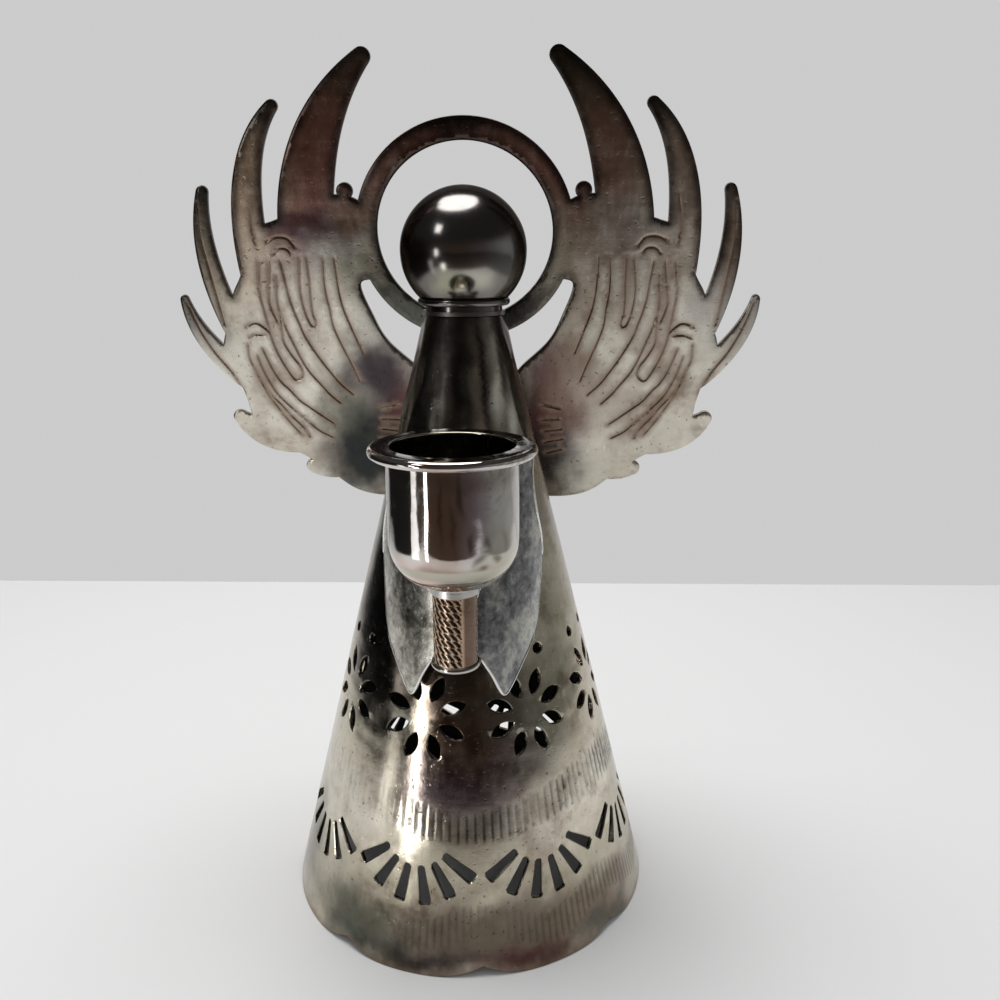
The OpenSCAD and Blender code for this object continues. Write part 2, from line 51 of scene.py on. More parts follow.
# Sizes of the holder in millimetres, the same as the model's
HEM_R, NECK_R, SKIRT_H, SHEET = 40.0, 8.1, 127.8, 0.8
LEAN = math.atan((HEM_R - NECK_R) / SKIRT_H)
SIN, COS = math.sin(LEAN), math.cos(LEAN)
MOTIFS, TURN = 8, 7.5
NOTCH_H, NOTCH_W, NOTCH_RIM = 2.2, 10.5, 0.06
FAN_SLOTS, FAN_SPREAD, FAN_UP, FAN_IN, FAN_OUT = 6, 110.0, 29.0, 7.2, 14.8
FAN_NEAR_W, FAN_FAR_W = 1.3, 2.4
PETALS, FLOWER_UP, PETAL_IN, PETAL_OUT, PETAL_W = 8, 52.0, 3.6, 9.0, 2.6
DOT_R, DOT_UP, DOT_GAP = 1.1, 64.4, 8.0
HALF_SPAN, WING_H, WING_T = 61.7, 97.0, 0.9
WING_UP, HALO_UP, HALO_IN, HALO_OUT = 86.51, 148.11, 18.0, 22.5
KNOB = (0.39, 0.722, 1.7)
RIVETS = (WING_UP + 9, WING_UP + 26)
RIVET_HOLE = 1.25
REACH, CUP_Z = 31.535, 80.8
CUP_R, BORE_R, CUP_H, CUP_ROUND = 12.0, 11.2, 26.4, 8.8
FLANGE_R, ROLL_R, CUP_HOLE = 15.3, 0.9, 1.55
TUBE_R, TUBE_BORE, TUBE_LOW, TUBE_TOP = 4.2, 3.35, 65.5, 79.4
BALL_R, BALL_SEAT, BALL_Z, BUSH_HOLE = 12.8, 5.4, 140.205, 4.65
SLEEVE_W, SLEEVE_H, SLEEVE_TIP, SLEEVE_BEND, SLEEVE_LEAN = 12.0, 48.0, (8.9, 56.9), 25.0, 9.5
BEND_X, BEND_Y, BEND_Z = 7.9, HEM_R - 75.0 * math.tan(LEAN) - 14.1, 75.0

# Half of the wing plate, as shares of half its span and of its height: the palm of the wing,
# and the opening beside the neck
PALM = (
    (-0.06, -0.02), (0.21, 0.00), (0.36, 0.003), (0.45, 0.02), (0.53, 0.06), (0.62, 0.105),
    (0.74, 0.15), (0.80, 0.20), (0.815, 0.25), (0.835, 0.30), (0.872, 0.375), (0.85, 0.43),
    (0.825, 0.48), (0.805, 0.512), (0.775, 0.545), (0.70, 0.64), (0.64, 0.662), (0.585, 0.672),
    (0.50, 0.70), (0.44, 0.715), (0.34, 0.70), (0.15, 0.60), (-0.06, 0.60),
)
GAP = (
    (0.36, 0.53), (0.325, 0.45), (0.28, 0.395), (0.20, 0.345), (0.14, 0.31), (0.12, 0.36),
    (0.13, 0.44), (0.24, 0.52),
)
# Feathers: root, bend and tip in the same shares, and the half widths at root and tip
FEATHERS = (
    ((0.532, 0.635), (0.516, 0.850), (0.302, 0.975), 0.094, 0.029),
    ((0.712, 0.520), (0.762, 0.780), (0.598, 0.887), 0.058, 0.021),
    ((0.800, 0.395), (0.923, 0.580), (0.862, 0.722), 0.044, 0.020),
    ((0.780, 0.294), (0.964, 0.389), (0.984, 0.492), 0.044, 0.015),
    ((0.600, 0.175), (0.770, 0.150), (0.851, 0.209), 0.085, 0.028),
    ((0.440, 0.110), (0.545, 0.075), (0.600, 0.080), 0.070, 0.030),
)

# Outline of a sleeve, as shares of its width and height
SLEEVE = (
    (0.00, 0.00), (0.13, 0.026), (0.30, 0.098), (0.465, 0.17), (0.575, 0.26), (0.617, 0.39),
    (0.60, 0.56), (0.51, 0.70), (0.44, 0.84), (0.44, 0.96), (0.34, 1.00), (0.225, 0.94),
    (0.175, 0.79), (0.11, 0.64), (-0.075, 0.535), (-0.36, 0.46), (-0.42, 0.38), (-0.41, 0.21),
    (-0.34, 0.17), (-0.17, 0.09),
)

# Engraved lines of the right wing: for each point the millimetres from the middle and up
# the plate
ENGRAVED = (
    (43.5, 142.2, 43.9, 139, 44.1, 135.5, 43.7, 132.2, 43.3, 129.1, 42.7, 125, 41.6, 121.4, 40.2,
     118.3, 39.1, 116.4, 38.4, 115.9, 37.8, 116.2, 36.9, 117.4, 37.4, 119.5, 38.9, 121.8, 40.3,
     124.8, 40.4, 127.3, 40.4, 130.9),
    (41.3, 142.4, 42.3, 134.9, 41.9, 131.8, 41.1, 129.4),
    (40.2, 139.4, 40.6, 134.9, 40.3, 131.4, 39.7, 129.1, 39.3, 127.6, 37.9, 123.7, 36.7, 120.5,
     35.2, 117.6, 32.9, 114.6, 31.5, 112.7, 29.3, 110.5),
    (38.8, 142.2, 38.3, 138.3, 37.9, 134.8, 37.1, 131.4, 36.4, 129.1, 35.3, 125.8, 32.9, 121.3,
     30.8, 118, 28.9, 115.3, 26.2, 112.6),
    (34.8, 143, 35.3, 138.3, 35.3, 134.8, 34.8, 131.4, 34.1, 129.2, 33.6, 128.4, 33.1, 128.3,
     32.8, 129.6, 33.2, 131.4, 33.3, 134.8, 33.2, 138.1, 33.2, 143),
    (29.8, 143, 30, 138.1, 29.8, 134.8, 29.4, 132.3, 29.1, 128.9, 28.1, 125.5, 26.7, 122, 25.3,
     118.4, 24.4, 115.8),
    (27.4, 143, 27.2, 138.1, 26.9, 134.8, 26.3, 131.8, 25, 127.8, 24.2, 125.5, 23.1, 122.4),
    (40.2, 144, 39.5, 144.9, 38.4, 145.3, 37.2, 145.1, 36.4, 144.2),
    (41.2, 146.7, 39.8, 147.4, 38.3, 147.6, 36.7, 147.2, 35.5, 145.7),
    (48.4, 128.2, 47, 128.9, 45.5, 129, 44.3, 128.2, 43.2, 127.1),
    (47.9, 125.9, 46.5, 126.4, 44.7, 126.4),
    (48.4, 124.3, 48.4, 121.1, 47.4, 118.3, 46.4, 115.4, 45.1, 112.1, 43, 108.4, 41.1, 105.4,
     38.9, 102.4),
    (46.6, 121.6, 45.7, 118.3, 44.8, 115.9, 43.2, 112.6, 41, 109.9, 38.6, 107.4, 36.2, 105, 34.6,
     103.5, 32, 102),
    (45.2, 123.3, 44.2, 120.2, 43.2, 117.6, 41.8, 115.2, 40.5, 113.8, 38.4, 111.1, 36.1, 109.2,
     32.9, 106.7, 30.9, 105.2),
    (47.3, 117.6, 46, 114.7, 44.4, 112.1, 42.6, 109.9, 40.7, 107.2, 38.2, 104.2, 37.1, 101.9),
    (43.1, 155.8, 43.8, 151.8, 43.9, 148.4, 43.5, 146.1),
    (45.2, 164.4, 46.8, 156.8, 47.6, 149.8, 47.5, 144.7, 47.3, 140),
    (54.5, 154.8, 55, 147.8, 54.3, 140.5, 53.5, 134, 52.8, 128.6),
    (60.4, 134, 58.7, 128.4, 56.1, 122.7, 52.7, 117.5, 50.9, 113), (20.1, 109.1, 16.2, 110.1),
    (20.3, 106.6, 16, 106.4), (20.5, 104.1, 16.4, 103.6), (20.8, 101.6, 16.8, 100.9),
    (21.1, 99.1, 17.2, 98.2),
)
# Width and depth of an engraved line in millimetres
GROOVE_W, GROOVE_D = 0.8, 0.12

# Tones of the plate, from bare to fully tarnished; the tables below also lay them as
# painted shade and painted reflections
PALE, BEIGE, OLIVE = (0.70, 0.67, 0.60), (0.60, 0.55, 0.46), (0.42, 0.40, 0.31)
GREY, BROWN, MAROON = (0.40, 0.39, 0.38), (0.26, 0.19, 0.145), (0.31, 0.15, 0.125)
PURPLE, GREEN_BLACK, BLACK = (0.16, 0.13, 0.15), (0.10, 0.11, 0.095), (0.04, 0.036, 0.036)
WINE, UMBER = (0.10, 0.045, 0.045), (0.14, 0.11, 0.085)

# Tarnish of the wings, with painted shade and painted reflection laid in: the wine and black
# patches beside the neck and the head are painted shade where the body shades the plate's
# middle, and the maroon and black upper feathers are partly tarnish and partly painted dark
# reflection. Millimetres from the middle and up the plate, length, width, turn in degrees,
# strength, tone
WING_TARNISH_AND_PAINTED_LIGHT = (
    (0, 190, 90, 30, 0, 0.7, (0.36, 0.29, 0.23)), (-28, 168, 26, 12, 62, 0.9, MAROON),
    (-33, 155, 12, 8, 80, 0.8, MAROON), (28, 170, 26, 12, -62, 0.8, BROWN),
    (26, 158, 12, 8, -70, 0.5, MAROON), (-20, 181, 9, 5, 50, 0.6, GREEN_BLACK),
    (20, 181, 9, 5, -50, 0.9, GREEN_BLACK), (-44, 160, 24, 8, 73, 0.95, (0.80, 0.64, 0.50)),
    (-41, 157, 16, 3, 75, 0.3, OLIVE), (-38, 174, 7, 4, 60, 0.9, GREEN_BLACK),
    (44, 161, 24, 8, -72, 0.9, (0.62, 0.56, 0.49)), (44, 156, 14, 3, -76, 0.4, BROWN),
    (37, 173, 7, 4, -60, 0.9, GREEN_BLACK), (-54, 144, 16, 5, 88, 0.6, OLIVE),
    (-54, 155, 6, 3, 90, 0.9, GREEN_BLACK), (54, 147, 10, 4, 85, 0.95, BROWN),
    (53, 134, 9, 4, 70, 0.5, GREY), (59, 130, 9, 5, 60, 0.7, GREY),
    (-59, 130, 9, 4, 120, 0.8, GREY), (-60, 133, 4, 3, 120, 0.8, GREEN_BLACK),
    (-30, 149, 13, 4, 0, 0.95, PURPLE), (-35, 150, 5, 3, 10, 0.9, WINE),
    (-23, 152, 7, 4, 20, 0.8, BROWN), (29, 150, 12, 5, 0, 0.6, GREY),
    (-25, 143, 14, 5, 10, 0.65, GREY), (22, 148, 8, 9, 0, 0.7, BROWN),
    (-20, 139, 9, 5, 60, 0.85, OLIVE), (0, 166, 22, 7, 0, 0.85, MAROON),
    (0, 170.6, 10, 4, 0, 0.95, BLACK), (-14, 133, 13, 6, -40, 0.97, GREEN_BLACK),
    (14, 132, 12, 5, 45, 0.97, BLACK), (19, 141, 5, 6, 0, 0.5, OLIVE),
    (17, 160, 8, 6, -60, 0.85, MAROON), (-17, 160, 8, 6, 60, 0.75, MAROON),
    # Painted shade beside the neck, where the body shades the plate's middle
    (-17, 109, 9, 14, 0, 1.0, WINE), (-21, 118, 8, 8, 30, 0.97, (0.05, 0.04, 0.048)),
    (-24, 97, 9, 10, 60, 1.0, BLACK), (-27, 106, 5, 7, 45, 0.8, GREEN_BLACK),
    (17, 108, 9, 15, 0, 1.0, WINE), (20, 120, 8, 7, -50, 0.9, WINE), (18, 95, 8, 9, 0, 1.0, BLACK),
    (27, 112, 10, 8, -30, 0.5, BROWN), (-40, 122, 12, 3, 55, 0.35, BROWN),
    (40, 124, 12, 3, -55, 0.45, BROWN), (38, 108, 10, 4, 35, 0.45, BROWN),
    (-33, 104, 12, 3, -40, 0.35, BEIGE), (-44, 100, 14, 5, -30, 0.35, BEIGE),
    (36, 97, 16, 5, 30, 0.35, OLIVE), (-31, 97, 7, 4, 0, 0.45, BROWN),
    (32, 138, 14, 8, 80, 0.3, GREY), (24, 128, 8, 12, 0, 0.3, OLIVE),
    (41.5, 133, 14, 2.2, 92, 0.6, BROWN), (32.8, 142, 14, 2.5, 93, 0.5, BROWN),
    (42, 110, 13, 2.2, 55, 0.65, BROWN), (22.5, 135, 18, 3, 90, 0.55, BROWN),
    (-42, 131, 14, 2, 95, 0.45, BROWN), (-34, 126, 12, 2, 98, 0.35, BROWN),
    (-43, 112, 13, 2.2, -66, 0.5, BROWN), (-28, 109, 5, 8, 20, 0.7, (0.17, 0.17, 0.14)),
    (-25, 98, 9, 9, 60, 1.0, (0.03, 0.035, 0.035)),
)

# Tarnish of the skirt, with painted shade and painted reflections laid in: the black patches
# on the neck and the front are painted reflections of the dark room, the black patch left of
# the left sleeve is a painted shadow, the dark patch on the front behind the cup is painted
# shade, the pale patches on both sides are painted reflections of the wall, and the thin
# upright streaks on the neck are painted reflections. Degrees of azimuth and height, and the
# same further values in millimetres
SKIRT_TARNISH_AND_PAINTED_LIGHT = (
    # Painted reflection of the dark room on the neck and the front
    (0, 128, 90, 30, 0, 0.9, BLACK), (0, 98, 60, 20, 0, 0.75, GREEN_BLACK),
    # Painted shadow left of the left sleeve, and painted shade on the front behind the cup
    (-47, 68, 12, 18, 0, 1.0, BLACK), (-42, 54, 9, 8, 0, 0.9, BLACK),
    (-52, 84, 9, 12, 0, 0.7, GREEN_BLACK), (2, 50, 13, 24, 0, 0.85, BROWN),
    (0, 62, 9, 12, 0, 0.9, BLACK), (-30, 48, 7, 8, 0, 0.7, GREEN_BLACK),
    (26, 50, 10, 10, 0, 0.7, GREEN_BLACK), (4, 36, 14, 8, 8, 0.92, (0.12, 0.095, 0.105)),
    (-10, 37, 8, 5, 0, 0.7, PURPLE), (24, 40, 9, 5, 20, 0.3, GREY), (48, 52, 9, 14, 0, 0.5, OLIVE),
    (62, 70, 9, 16, 0, 0.5, OLIVE), (-60, 44, 9, 9, 0, 0.45, OLIVE), (5, 25, 20, 4, 0, 0.5, OLIVE),
    # Painted reflections of the wall: the pale patches on both sides
    (48, 30, 16, 7, 12, 0.85, (0.84, 0.80, 0.72)), (-48, 30, 15, 7, -8, 0.75, PALE),
    (-40, 22, 5, 4, 0, 0.4, BROWN), (30, 23, 5, 4, 0, 0.5, (0.36, 0.28, 0.24)),
    (-58, 24, 5, 5, 0, 0.5, PALE), (66, 17, 7, 7, 0, 0.5, PALE), (0, 16.5, 60, 4, 0, 0.5, OLIVE),
    (0, 8, 26, 7, 0, 0.88, UMBER), (24, 8, 20, 7, 0, 0.85, UMBER),
    (-14, 2.5, 15, 3.5, 0, 0.95, BLACK), (22, 2, 16, 3.5, 0, 0.9, WINE),
    (48, 7, 12, 7, 0, 0.75, BROWN), (-36, 6, 13, 8, 0, 0.95, (0.11, 0.11, 0.085)),
    (-34, 3, 9, 3, 0, 0.8, GREEN_BLACK), (52, 3, 9, 3, 0, 0.8, GREEN_BLACK),
    (-70, 14, 8, 12, 0, 0.7, GREEN_BLACK), (80, 25, 7, 20, 0, 0.6, OLIVE),
    (120, 60, 22, 16, 30, 0.6, BROWN), (170, 40, 24, 12, -20, 0.5, MAROON),
    (-150, 75, 18, 14, 0, 0.7, GREEN_BLACK), (-120, 24, 22, 9, 10, 0.6, BROWN),
    (150, 14, 26, 7, 0, 0.6, OLIVE), (-95, 55, 12, 14, 0, 0.5, BROWN),
    (100, 95, 16, 14, 0, 0.6, BROWN), (175, 8, 40, 6, 0, 0.6, BROWN),
    (110, 10, 20, 6, 0, 0.6, BROWN), (-110, 8, 24, 6, 0, 0.6, BROWN),
    # Painted reflections: thin light and dark streaks on the neck
    (-22, 115, 2.4, 11, 0, 0.6, GREY), (-36, 112, 0.9, 2.6, 0, 0.8, GREY),
    (16, 113, 1.3, 13, 0, 0.8, BEIGE), (36, 117, 2.0, 11, 0, 0.9, PALE),
    (-4, 115, 1.1, 12, 0, 0.9, BLACK), (23, 116, 0.6, 14, 0, 0.95, BLACK),
    (48, 117, 0.8, 14, 0, 0.9, BLACK), (50, 108, 1.2, 4, 0, 0.8, PALE),
    (-150, 112, 3, 12, 0, 0.6, GREY), (170, 114, 1.5, 12, 0, 0.7, BEIGE),
    (110, 112, 2, 12, 0, 0.6, GREY),
)

# Tarnish of the ball, with painted reflections laid in: the two light olive patches low on
# the front are painted reflections of the floor. Degrees of azimuth and height from its
# middle, otherwise as on the skirt
BALL_TARNISH_AND_REFLECTIONS = (
    (-14, -5.6, 3.2, 2.4, 0, 0.95, (0.36, 0.35, 0.26)),
    (18, -5.4, 3.6, 2.8, 0, 0.95, (0.46, 0.45, 0.38)),
    (44, 2.5, 2.6, 3.6, 0, 0.5, (0.30, 0.30, 0.30)),
    (-60, 1.0, 3.0, 6.0, 0, 0.6, (0.07, 0.06, 0.06)),
    (150, 3.0, 5.0, 4.0, 30, 0.5, (0.10, 0.10, 0.09)),
    (-130, -4.0, 5.0, 4.0, 0, 0.5, (0.30, 0.29, 0.26)),
)

# Tarnish of the cup, with painted reflections laid in: the tall upright bands round the
# front, brown, purple grey, grey and dark, are painted reflections of the room, and the small
# specks are tarnish. Degrees of azimuth and height, otherwise as on the skirt
CUP_TARNISH_AND_REFLECTIONS = (
    (-3, 15, 4, 15, 0, 0.75, (0.36, 0.24, 0.19)), (22, 17, 3, 13, 0, 0.55, (0.42, 0.37, 0.42)),
    (62, 15, 5, 14, 0, 0.35, GREY), (48, 9, 4, 6, 10, 0.4, OLIVE),
    (-62, 15, 5, 14, 0, 0.6, (0.22, 0.21, 0.20)), (-40, 4, 8, 3.5, 0, 0.85, (0.72, 0.52, 0.46)),
    (45, 4.5, 8, 4, 0, 0.8, OLIVE), (0, 5.6, 7, 1.3, 0, 0.85, BROWN),
    (26, 8, 1.4, 0.8, 30, 0.8, UMBER), (34, 11, 0.7, 1.4, 0, 0.8, UMBER),
    (42, 8, 1.0, 0.6, -20, 0.8, UMBER), (30, 6, 0.7, 0.7, 0, 0.8, UMBER),
    (52, 11, 0.6, 2.2, 0, 0.8, OLIVE), (20, 11, 0.6, 1.8, 0, 0.7, UMBER),
    (12, 20, 0.5, 4, 0, 0.7, UMBER), (-6, 17, 0.4, 6, 0, 0.6, UMBER),
    (4, 14, 0.4, 5, 0, 0.5, UMBER), (-35, 23, 8, 1.2, 0, 0.4, GREY),
    (30, 22, 9, 1.6, 0, 0.4, BROWN), (140, 12, 12, 8, 20, 0.4, OLIVE),
    (-130, 10, 12, 6, 0, 0.4, BROWN), (180, 22, 16, 3, 0, 0.3, GREY),
)


# Flat outlines and meshes

def columns(*parts):
    """The parts side by side, as the columns of one array."""
    return np.column_stack(parts)


def unit(vectors):
    """The vectors divided by their own lengths."""
    return vectors / np.maximum(np.linalg.norm(vectors, axis=-1, keepdims=True), 1e-9)


def smooth(points, steps, closed=False):
    """Smooth line through the points: each stretch is the cubic whose slope at a point
    is half the way between its neighbours, taken at the given number of steps."""
    p = np.asarray(points, float)
    if closed:
        a, b, c, d = np.roll(p, 1, 0), p, np.roll(p, -1, 0), np.roll(p, -2, 0)
    else:
        q = np.vstack([2 * p[0] - p[1], p, 2 * p[-1] - p[-2]])
        a, b, c, d = q[:-3], q[1:-2], q[2:-1], q[3:]
    t = (np.arange(steps) / steps)[None, :, None]
    a, b, c, d = (v[:, None, :] for v in (a, b, c, d))
    line = (b + (c - a) * t / 2 + (2 * a - 5 * b + 4 * c - d) * t ** 2 / 2
            + (3 * b - a - 3 * c + d) * t ** 3 / 2).reshape(-1, 2)
    return line if closed else np.vstack([line, p[-1:]])


def evenly(line, step, closed=False):
    """The same line with points about one step apart: linear along its own length."""
    p = np.vstack([line, line[:1]]) if closed else line
    along = np.concatenate([[0], np.cumsum(np.linalg.norm(np.diff(p, axis=0), axis=1))])
    n = max(int(round(along[-1] / step)), 3 if closed else 1)
    s = np.linspace(0, along[-1], n + 1)[: n if closed else n + 1]
    return columns(np.interp(s, along, p[:, 0]), np.interp(s, along, p[:, 1]))


def circle(x, y, r, step):
    """Points on a circle: centre plus radius times the cosine and sine of the turn."""
    n = max(int(2 * math.pi * r / step), 16)
    t = np.arange(n) * 2 * math.pi / n
    return columns(x + r * np.cos(t), y + r * np.sin(t))


def offset(line, d, closed=False):
    """The line moved sideways by d: each point along the normal of its neighbours' chord."""
    if closed:
        run = np.roll(line, -1, 0) - np.roll(line, 1, 0)
    else:
        run = np.gradient(line, axis=0)
    run = unit(run)
    return line + d * columns(-run[:, 1], run[:, 0])


def inside(points, loop):
    """Whether each point lies in the loop: a line to the right crosses it an odd number of
    times."""
    a, b = loop, np.roll(loop, -1, 0)
    odd = np.zeros(len(points), bool)
    for lo in range(0, len(points), 8000):
        x, y = points[lo:lo + 8000, 0, None], points[lo:lo + 8000, 1, None]
        spans = (a[:, 1] > y) != (b[:, 1] > y)
        rise = np.where(b[:, 1] == a[:, 1], 1, b[:, 1] - a[:, 1])
        at = a[:, 0] + (y - a[:, 1]) * (b[:, 0] - a[:, 0]) / rise
        odd[lo:lo + 8000] = (spans & (x < at)).sum(1) % 2 == 1
    return odd


def open_edges(tris):
    """The directed edges that only one triangle uses: the outline of the surface."""
    edges = np.concatenate([tris[:, [0, 1]], tris[:, [1, 2]], tris[:, [2, 0]]])
    key = edges.min(1).astype(np.int64) * (tris.max() + 1) + edges.max(1)
    _, first, count = np.unique(key, return_index=True, return_counts=True)
    return edges[first[count == 1]]


def hexagon_points(low, high, step):
    """Points of a triangular net with the given step, over the box from low to high."""
    rows = np.arange(low[1], high[1] + step, step * math.sqrt(3) / 2)
    x, y = np.meshgrid(np.arange(low[0], high[0] + step, step), rows)
    x = x + (np.arange(len(rows)) % 2)[:, None] * step / 2
    return columns(x.ravel(), y.ravel())


def spread(points, taken, gap):
    """The points that keep the gap to all taken ones: both are put in cells one gap wide,
    and a point is only set against those in its own and the eight cells round it."""
    if not len(points):
        return points
    low = np.minimum(points.min(0), taken.min(0)) - gap
    width = int((max(points[:, 0].max(), taken[:, 0].max()) - low[0]) / gap) + 3
    cell = ((taken - low) / gap).astype(int)
    key = cell[:, 1] * width + cell[:, 0]
    order = np.argsort(key, kind="stable")
    key, near = key[order], taken[order]
    free = np.ones(len(points), bool)
    own = ((points - low) / gap).astype(int)
    for dy in (-1, 0, 1):
        for dx in (-1, 0, 1):
            want = (own[:, 1] + dy) * width + own[:, 0] + dx
            first = np.searchsorted(key, want, "left")
            last = np.searchsorted(key, want, "right")
            for k in range(int((last - first).max()) if len(key) else 0):
                here = np.minimum(first + k, len(key) - 1)
                hit = (first + k < last) & (np.linalg.norm(points - near[here], axis=1) < gap)
                free &= ~hit
    return points[free]


def triangulate(points, loops, keep):
    """Triangles over the closed loops and the points, of which those stay whose middle passes
    keep. Returns the flat points that are used and the triangles, all turned the same way."""
    edges, start = [], 0
    for loop in loops:
        n = len(loop)
        i = np.arange(n)
        edges.append(columns(i, (i + 1) % n) + start)
        start += n
    flat = np.vstack(list(loops) + [points])
    out = delaunay_2d_cdt([Vector(p) for p in flat.tolist()],
                          [tuple(e) for e in np.vstack(edges).tolist()], [], 0, 1e-6)
    flat = np.array([tuple(v) for v in out[0]])
    tris = np.array(out[2])
    a, b, c = flat[tris[:, 0]], flat[tris[:, 1]], flat[tris[:, 2]]
    area = (b[:, 0] - a[:, 0]) * (c[:, 1] - a[:, 1]) - (b[:, 1] - a[:, 1]) * (c[:, 0] - a[:, 0])
    tris = np.where((area < 0)[:, None], tris[:, ::-1], tris)[np.abs(area) > 1e-9]
    middle = flat[tris].mean(1)
    tris = tris[keep(middle)]
    used, tris = np.unique(tris, return_inverse=True)
    return flat[used], tris.reshape(-1, 3)


# Degrees from which an edge between two faces shows as sharp
SHARP = 35.0


def make_mesh(name, points_mm, tris, body, nodes, finishes, side=None, tone=None):
    """A piece of the object from points in millimetres and triangles, riding on the body in
    place of the nodes. Side gives each triangle the number of its finish, tone each point its
    tarnish and painted light."""
    mesh = bpy.data.meshes.new(name)
    mesh.vertices.add(len(points_mm))
    mesh.vertices.foreach_set("co", (points_mm * 0.001).astype(np.float32).ravel())
    mesh.loops.add(3 * len(tris))
    mesh.loops.foreach_set("vertex_index", tris.astype(np.int32).ravel())
    mesh.polygons.add(len(tris))
    mesh.polygons.foreach_set("loop_start", np.arange(0, 3 * len(tris), 3, dtype=np.int32))
    if side is not None:
        mesh.polygons.foreach_set("material_index", side.astype(np.int32))
    mesh.update(calc_edges=True)
    mesh.polygons.foreach_set("use_smooth", np.ones(len(mesh.polygons), bool))
    mesh.set_sharp_from_angle(angle=math.radians(SHARP))
    if tone is not None:
        layer = mesh.attributes.new("tarnish", "FLOAT_COLOR", "POINT")
        rgba = columns(tone, np.ones(len(tone))).astype(np.float32)
        layer.data.foreach_set("color", rgba.ravel())
    piece = bpy.data.objects.new(name, mesh)
    bpy.context.scene.collection.objects.link(piece)
    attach(piece, body)
    if nodes:
        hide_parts(*nodes)
    for finish in finishes:
        mesh.materials.append(finish)


def two_sided(front, back, tris):
    """Closed sheet: the front triangles, the back ones turned over, and two triangles
    for each edge of the outline between both. Every back point has its front point's number
    plus their count. Side is 1 for the back's triangles and 0 for all others."""
    n = len(front)
    edge = open_edges(tris)
    wall = np.vstack([columns(edge[:, 1], edge[:, 0], edge[:, 0] + n),
                      columns(edge[:, 1], edge[:, 0] + n, edge[:, 1] + n)])
    side = np.repeat([0, 1, 0], [len(tris), len(tris), len(wall)])
    return np.vstack([front, back]), np.vstack([tris, tris[:, ::-1] + n, wall]), side


def waves(points, seed, count, shortest, longest):
    """Soft relief between about -1 and 1: a sum of plane waves with random runs and phases."""
    rng = np.random.default_rng(seed)
    run = unit(rng.normal(size=(count, 3)))
    step = np.exp(rng.uniform(math.log(shortest), math.log(longest), count))
    phase = rng.random(count) * 2 * math.pi
    return np.sin(points @ (run / step[:, None] * 2 * math.pi).T + phase).sum(1) / math.sqrt(count)


def places(cells):
    """The first point of each place, and the number of every point's place, where points
    whose cells round to the same whole numbers share a place."""
    _, first, same = np.unique(np.round(cells).astype(np.int64), axis=0,
                               return_index=True, return_inverse=True)
    return first, same.ravel()


def welded(base, tris, *fields):
    """The same sheet with the points joined that lie on one place, within a micrometre."""
    first, same = places(base * 1000 + 0.37)
    return [same[tris]] + [field[first] for field in fields]


def tarnish_and_painted_light(x, y, ground, spots, seed, stretch=1.0, shake=1.5):
    """Tone of flat places: the ground's, over which each spot lays its own tone. A spot's share
    falls as e to the minus cube of the distance in its own lengths, after soft long and short
    waves have shaken the place. Stretch turns the first coordinate into millimetres."""
    place = columns(x * stretch, y, 0 * x)

    def shaken(first):
        """Long waves of the seed first, and a third of the short ones of the next seed."""
        return shake * (waves(place, first, 14, 5, 24) + waves(place, first + 1, 14, 1.5, 5) / 3)

    x, y = x * stretch + shaken(seed), y + shaken(seed + 2)
    colour = np.tile(np.array(ground), (len(x), 1))
    for at_x, at_y, length, width, turn, share, tone in spots:
        c, s = math.cos(math.radians(turn)), math.sin(math.radians(turn))
        dx, dy = x - at_x * stretch, y - at_y
        away = np.hypot((dx * c + dy * s) / length, (dy * c - dx * s) / width)
        w = (share * np.exp(-away ** 3))[:, None]
        colour = colour * (1 - w) + np.array(tone) * w
    return colour


def darkened(colour, share, tone):
    """The colour with a share of the tone laid over each point."""
    return colour * (1 - share[:, None]) + np.array(tone) * share[:, None]


def stretch_gap(points, low, high, reach):
    """Distance of each point to the nearest of many short straight stretches, or reach where
    none is nearer: the stretches are taken one by one, each against the points beside it."""
    gap = np.full(len(points), reach)
    order = np.argsort(points[:, 0])
    x = points[order, 0]
    for a, b in zip(low, high):
        first, last = np.searchsorted(x, [min(a[0], b[0]) - reach, max(a[0], b[0]) + reach])
        near = order[first:last]
        middle, half = (a[1] + b[1]) / 2, abs(a[1] - b[1]) / 2
        near = near[np.abs(points[near, 1] - middle) < half + reach]
        p, d = points[near] - a, b - a
        t = np.clip(p @ d / max(d @ d, 1e-12), 0, 1)
        gap[near] = np.minimum(gap[near], np.linalg.norm(p - t[:, None] * d, axis=1))
    return gap


# Skirt

def on_cone(x, u, turn):
    """Azimuth in degrees and height of the place where a line square to the sheet at the
    motif's middle, through the flat place x, u, meets the outer face of the cone."""
    a = HEM_R - u * SIN
    k = (COS ** 2 - SIN ** 2) / COS ** 2
    t = (np.sqrt(a * a / COS ** 2 - k * x * x) - a / COS) / k
    y = a + t * COS
    z = u * COS + t * SIN
    return turn + np.degrees(np.arctan2(x, y)), z


def unrolled(azimuth, z):
    """The cone rolled out flat: distance from its point, and turn by azimuth times sin(lean)."""
    rho = (HEM_R - z * math.tan(LEAN)) / SIN
    phi = np.radians(azimuth - TURN) * SIN
    return columns(rho * np.sin(phi), -rho * np.cos(phi))


def rolled(flat):
    """The inverse of unrolled: azimuth in degrees and height of a flat place."""
    rho = np.hypot(flat[:, 0], flat[:, 1])
    phi = np.arctan2(flat[:, 0], -flat[:, 1])
    return np.degrees(phi / SIN) + TURN, (HEM_R - rho * SIN) / math.tan(LEAN)


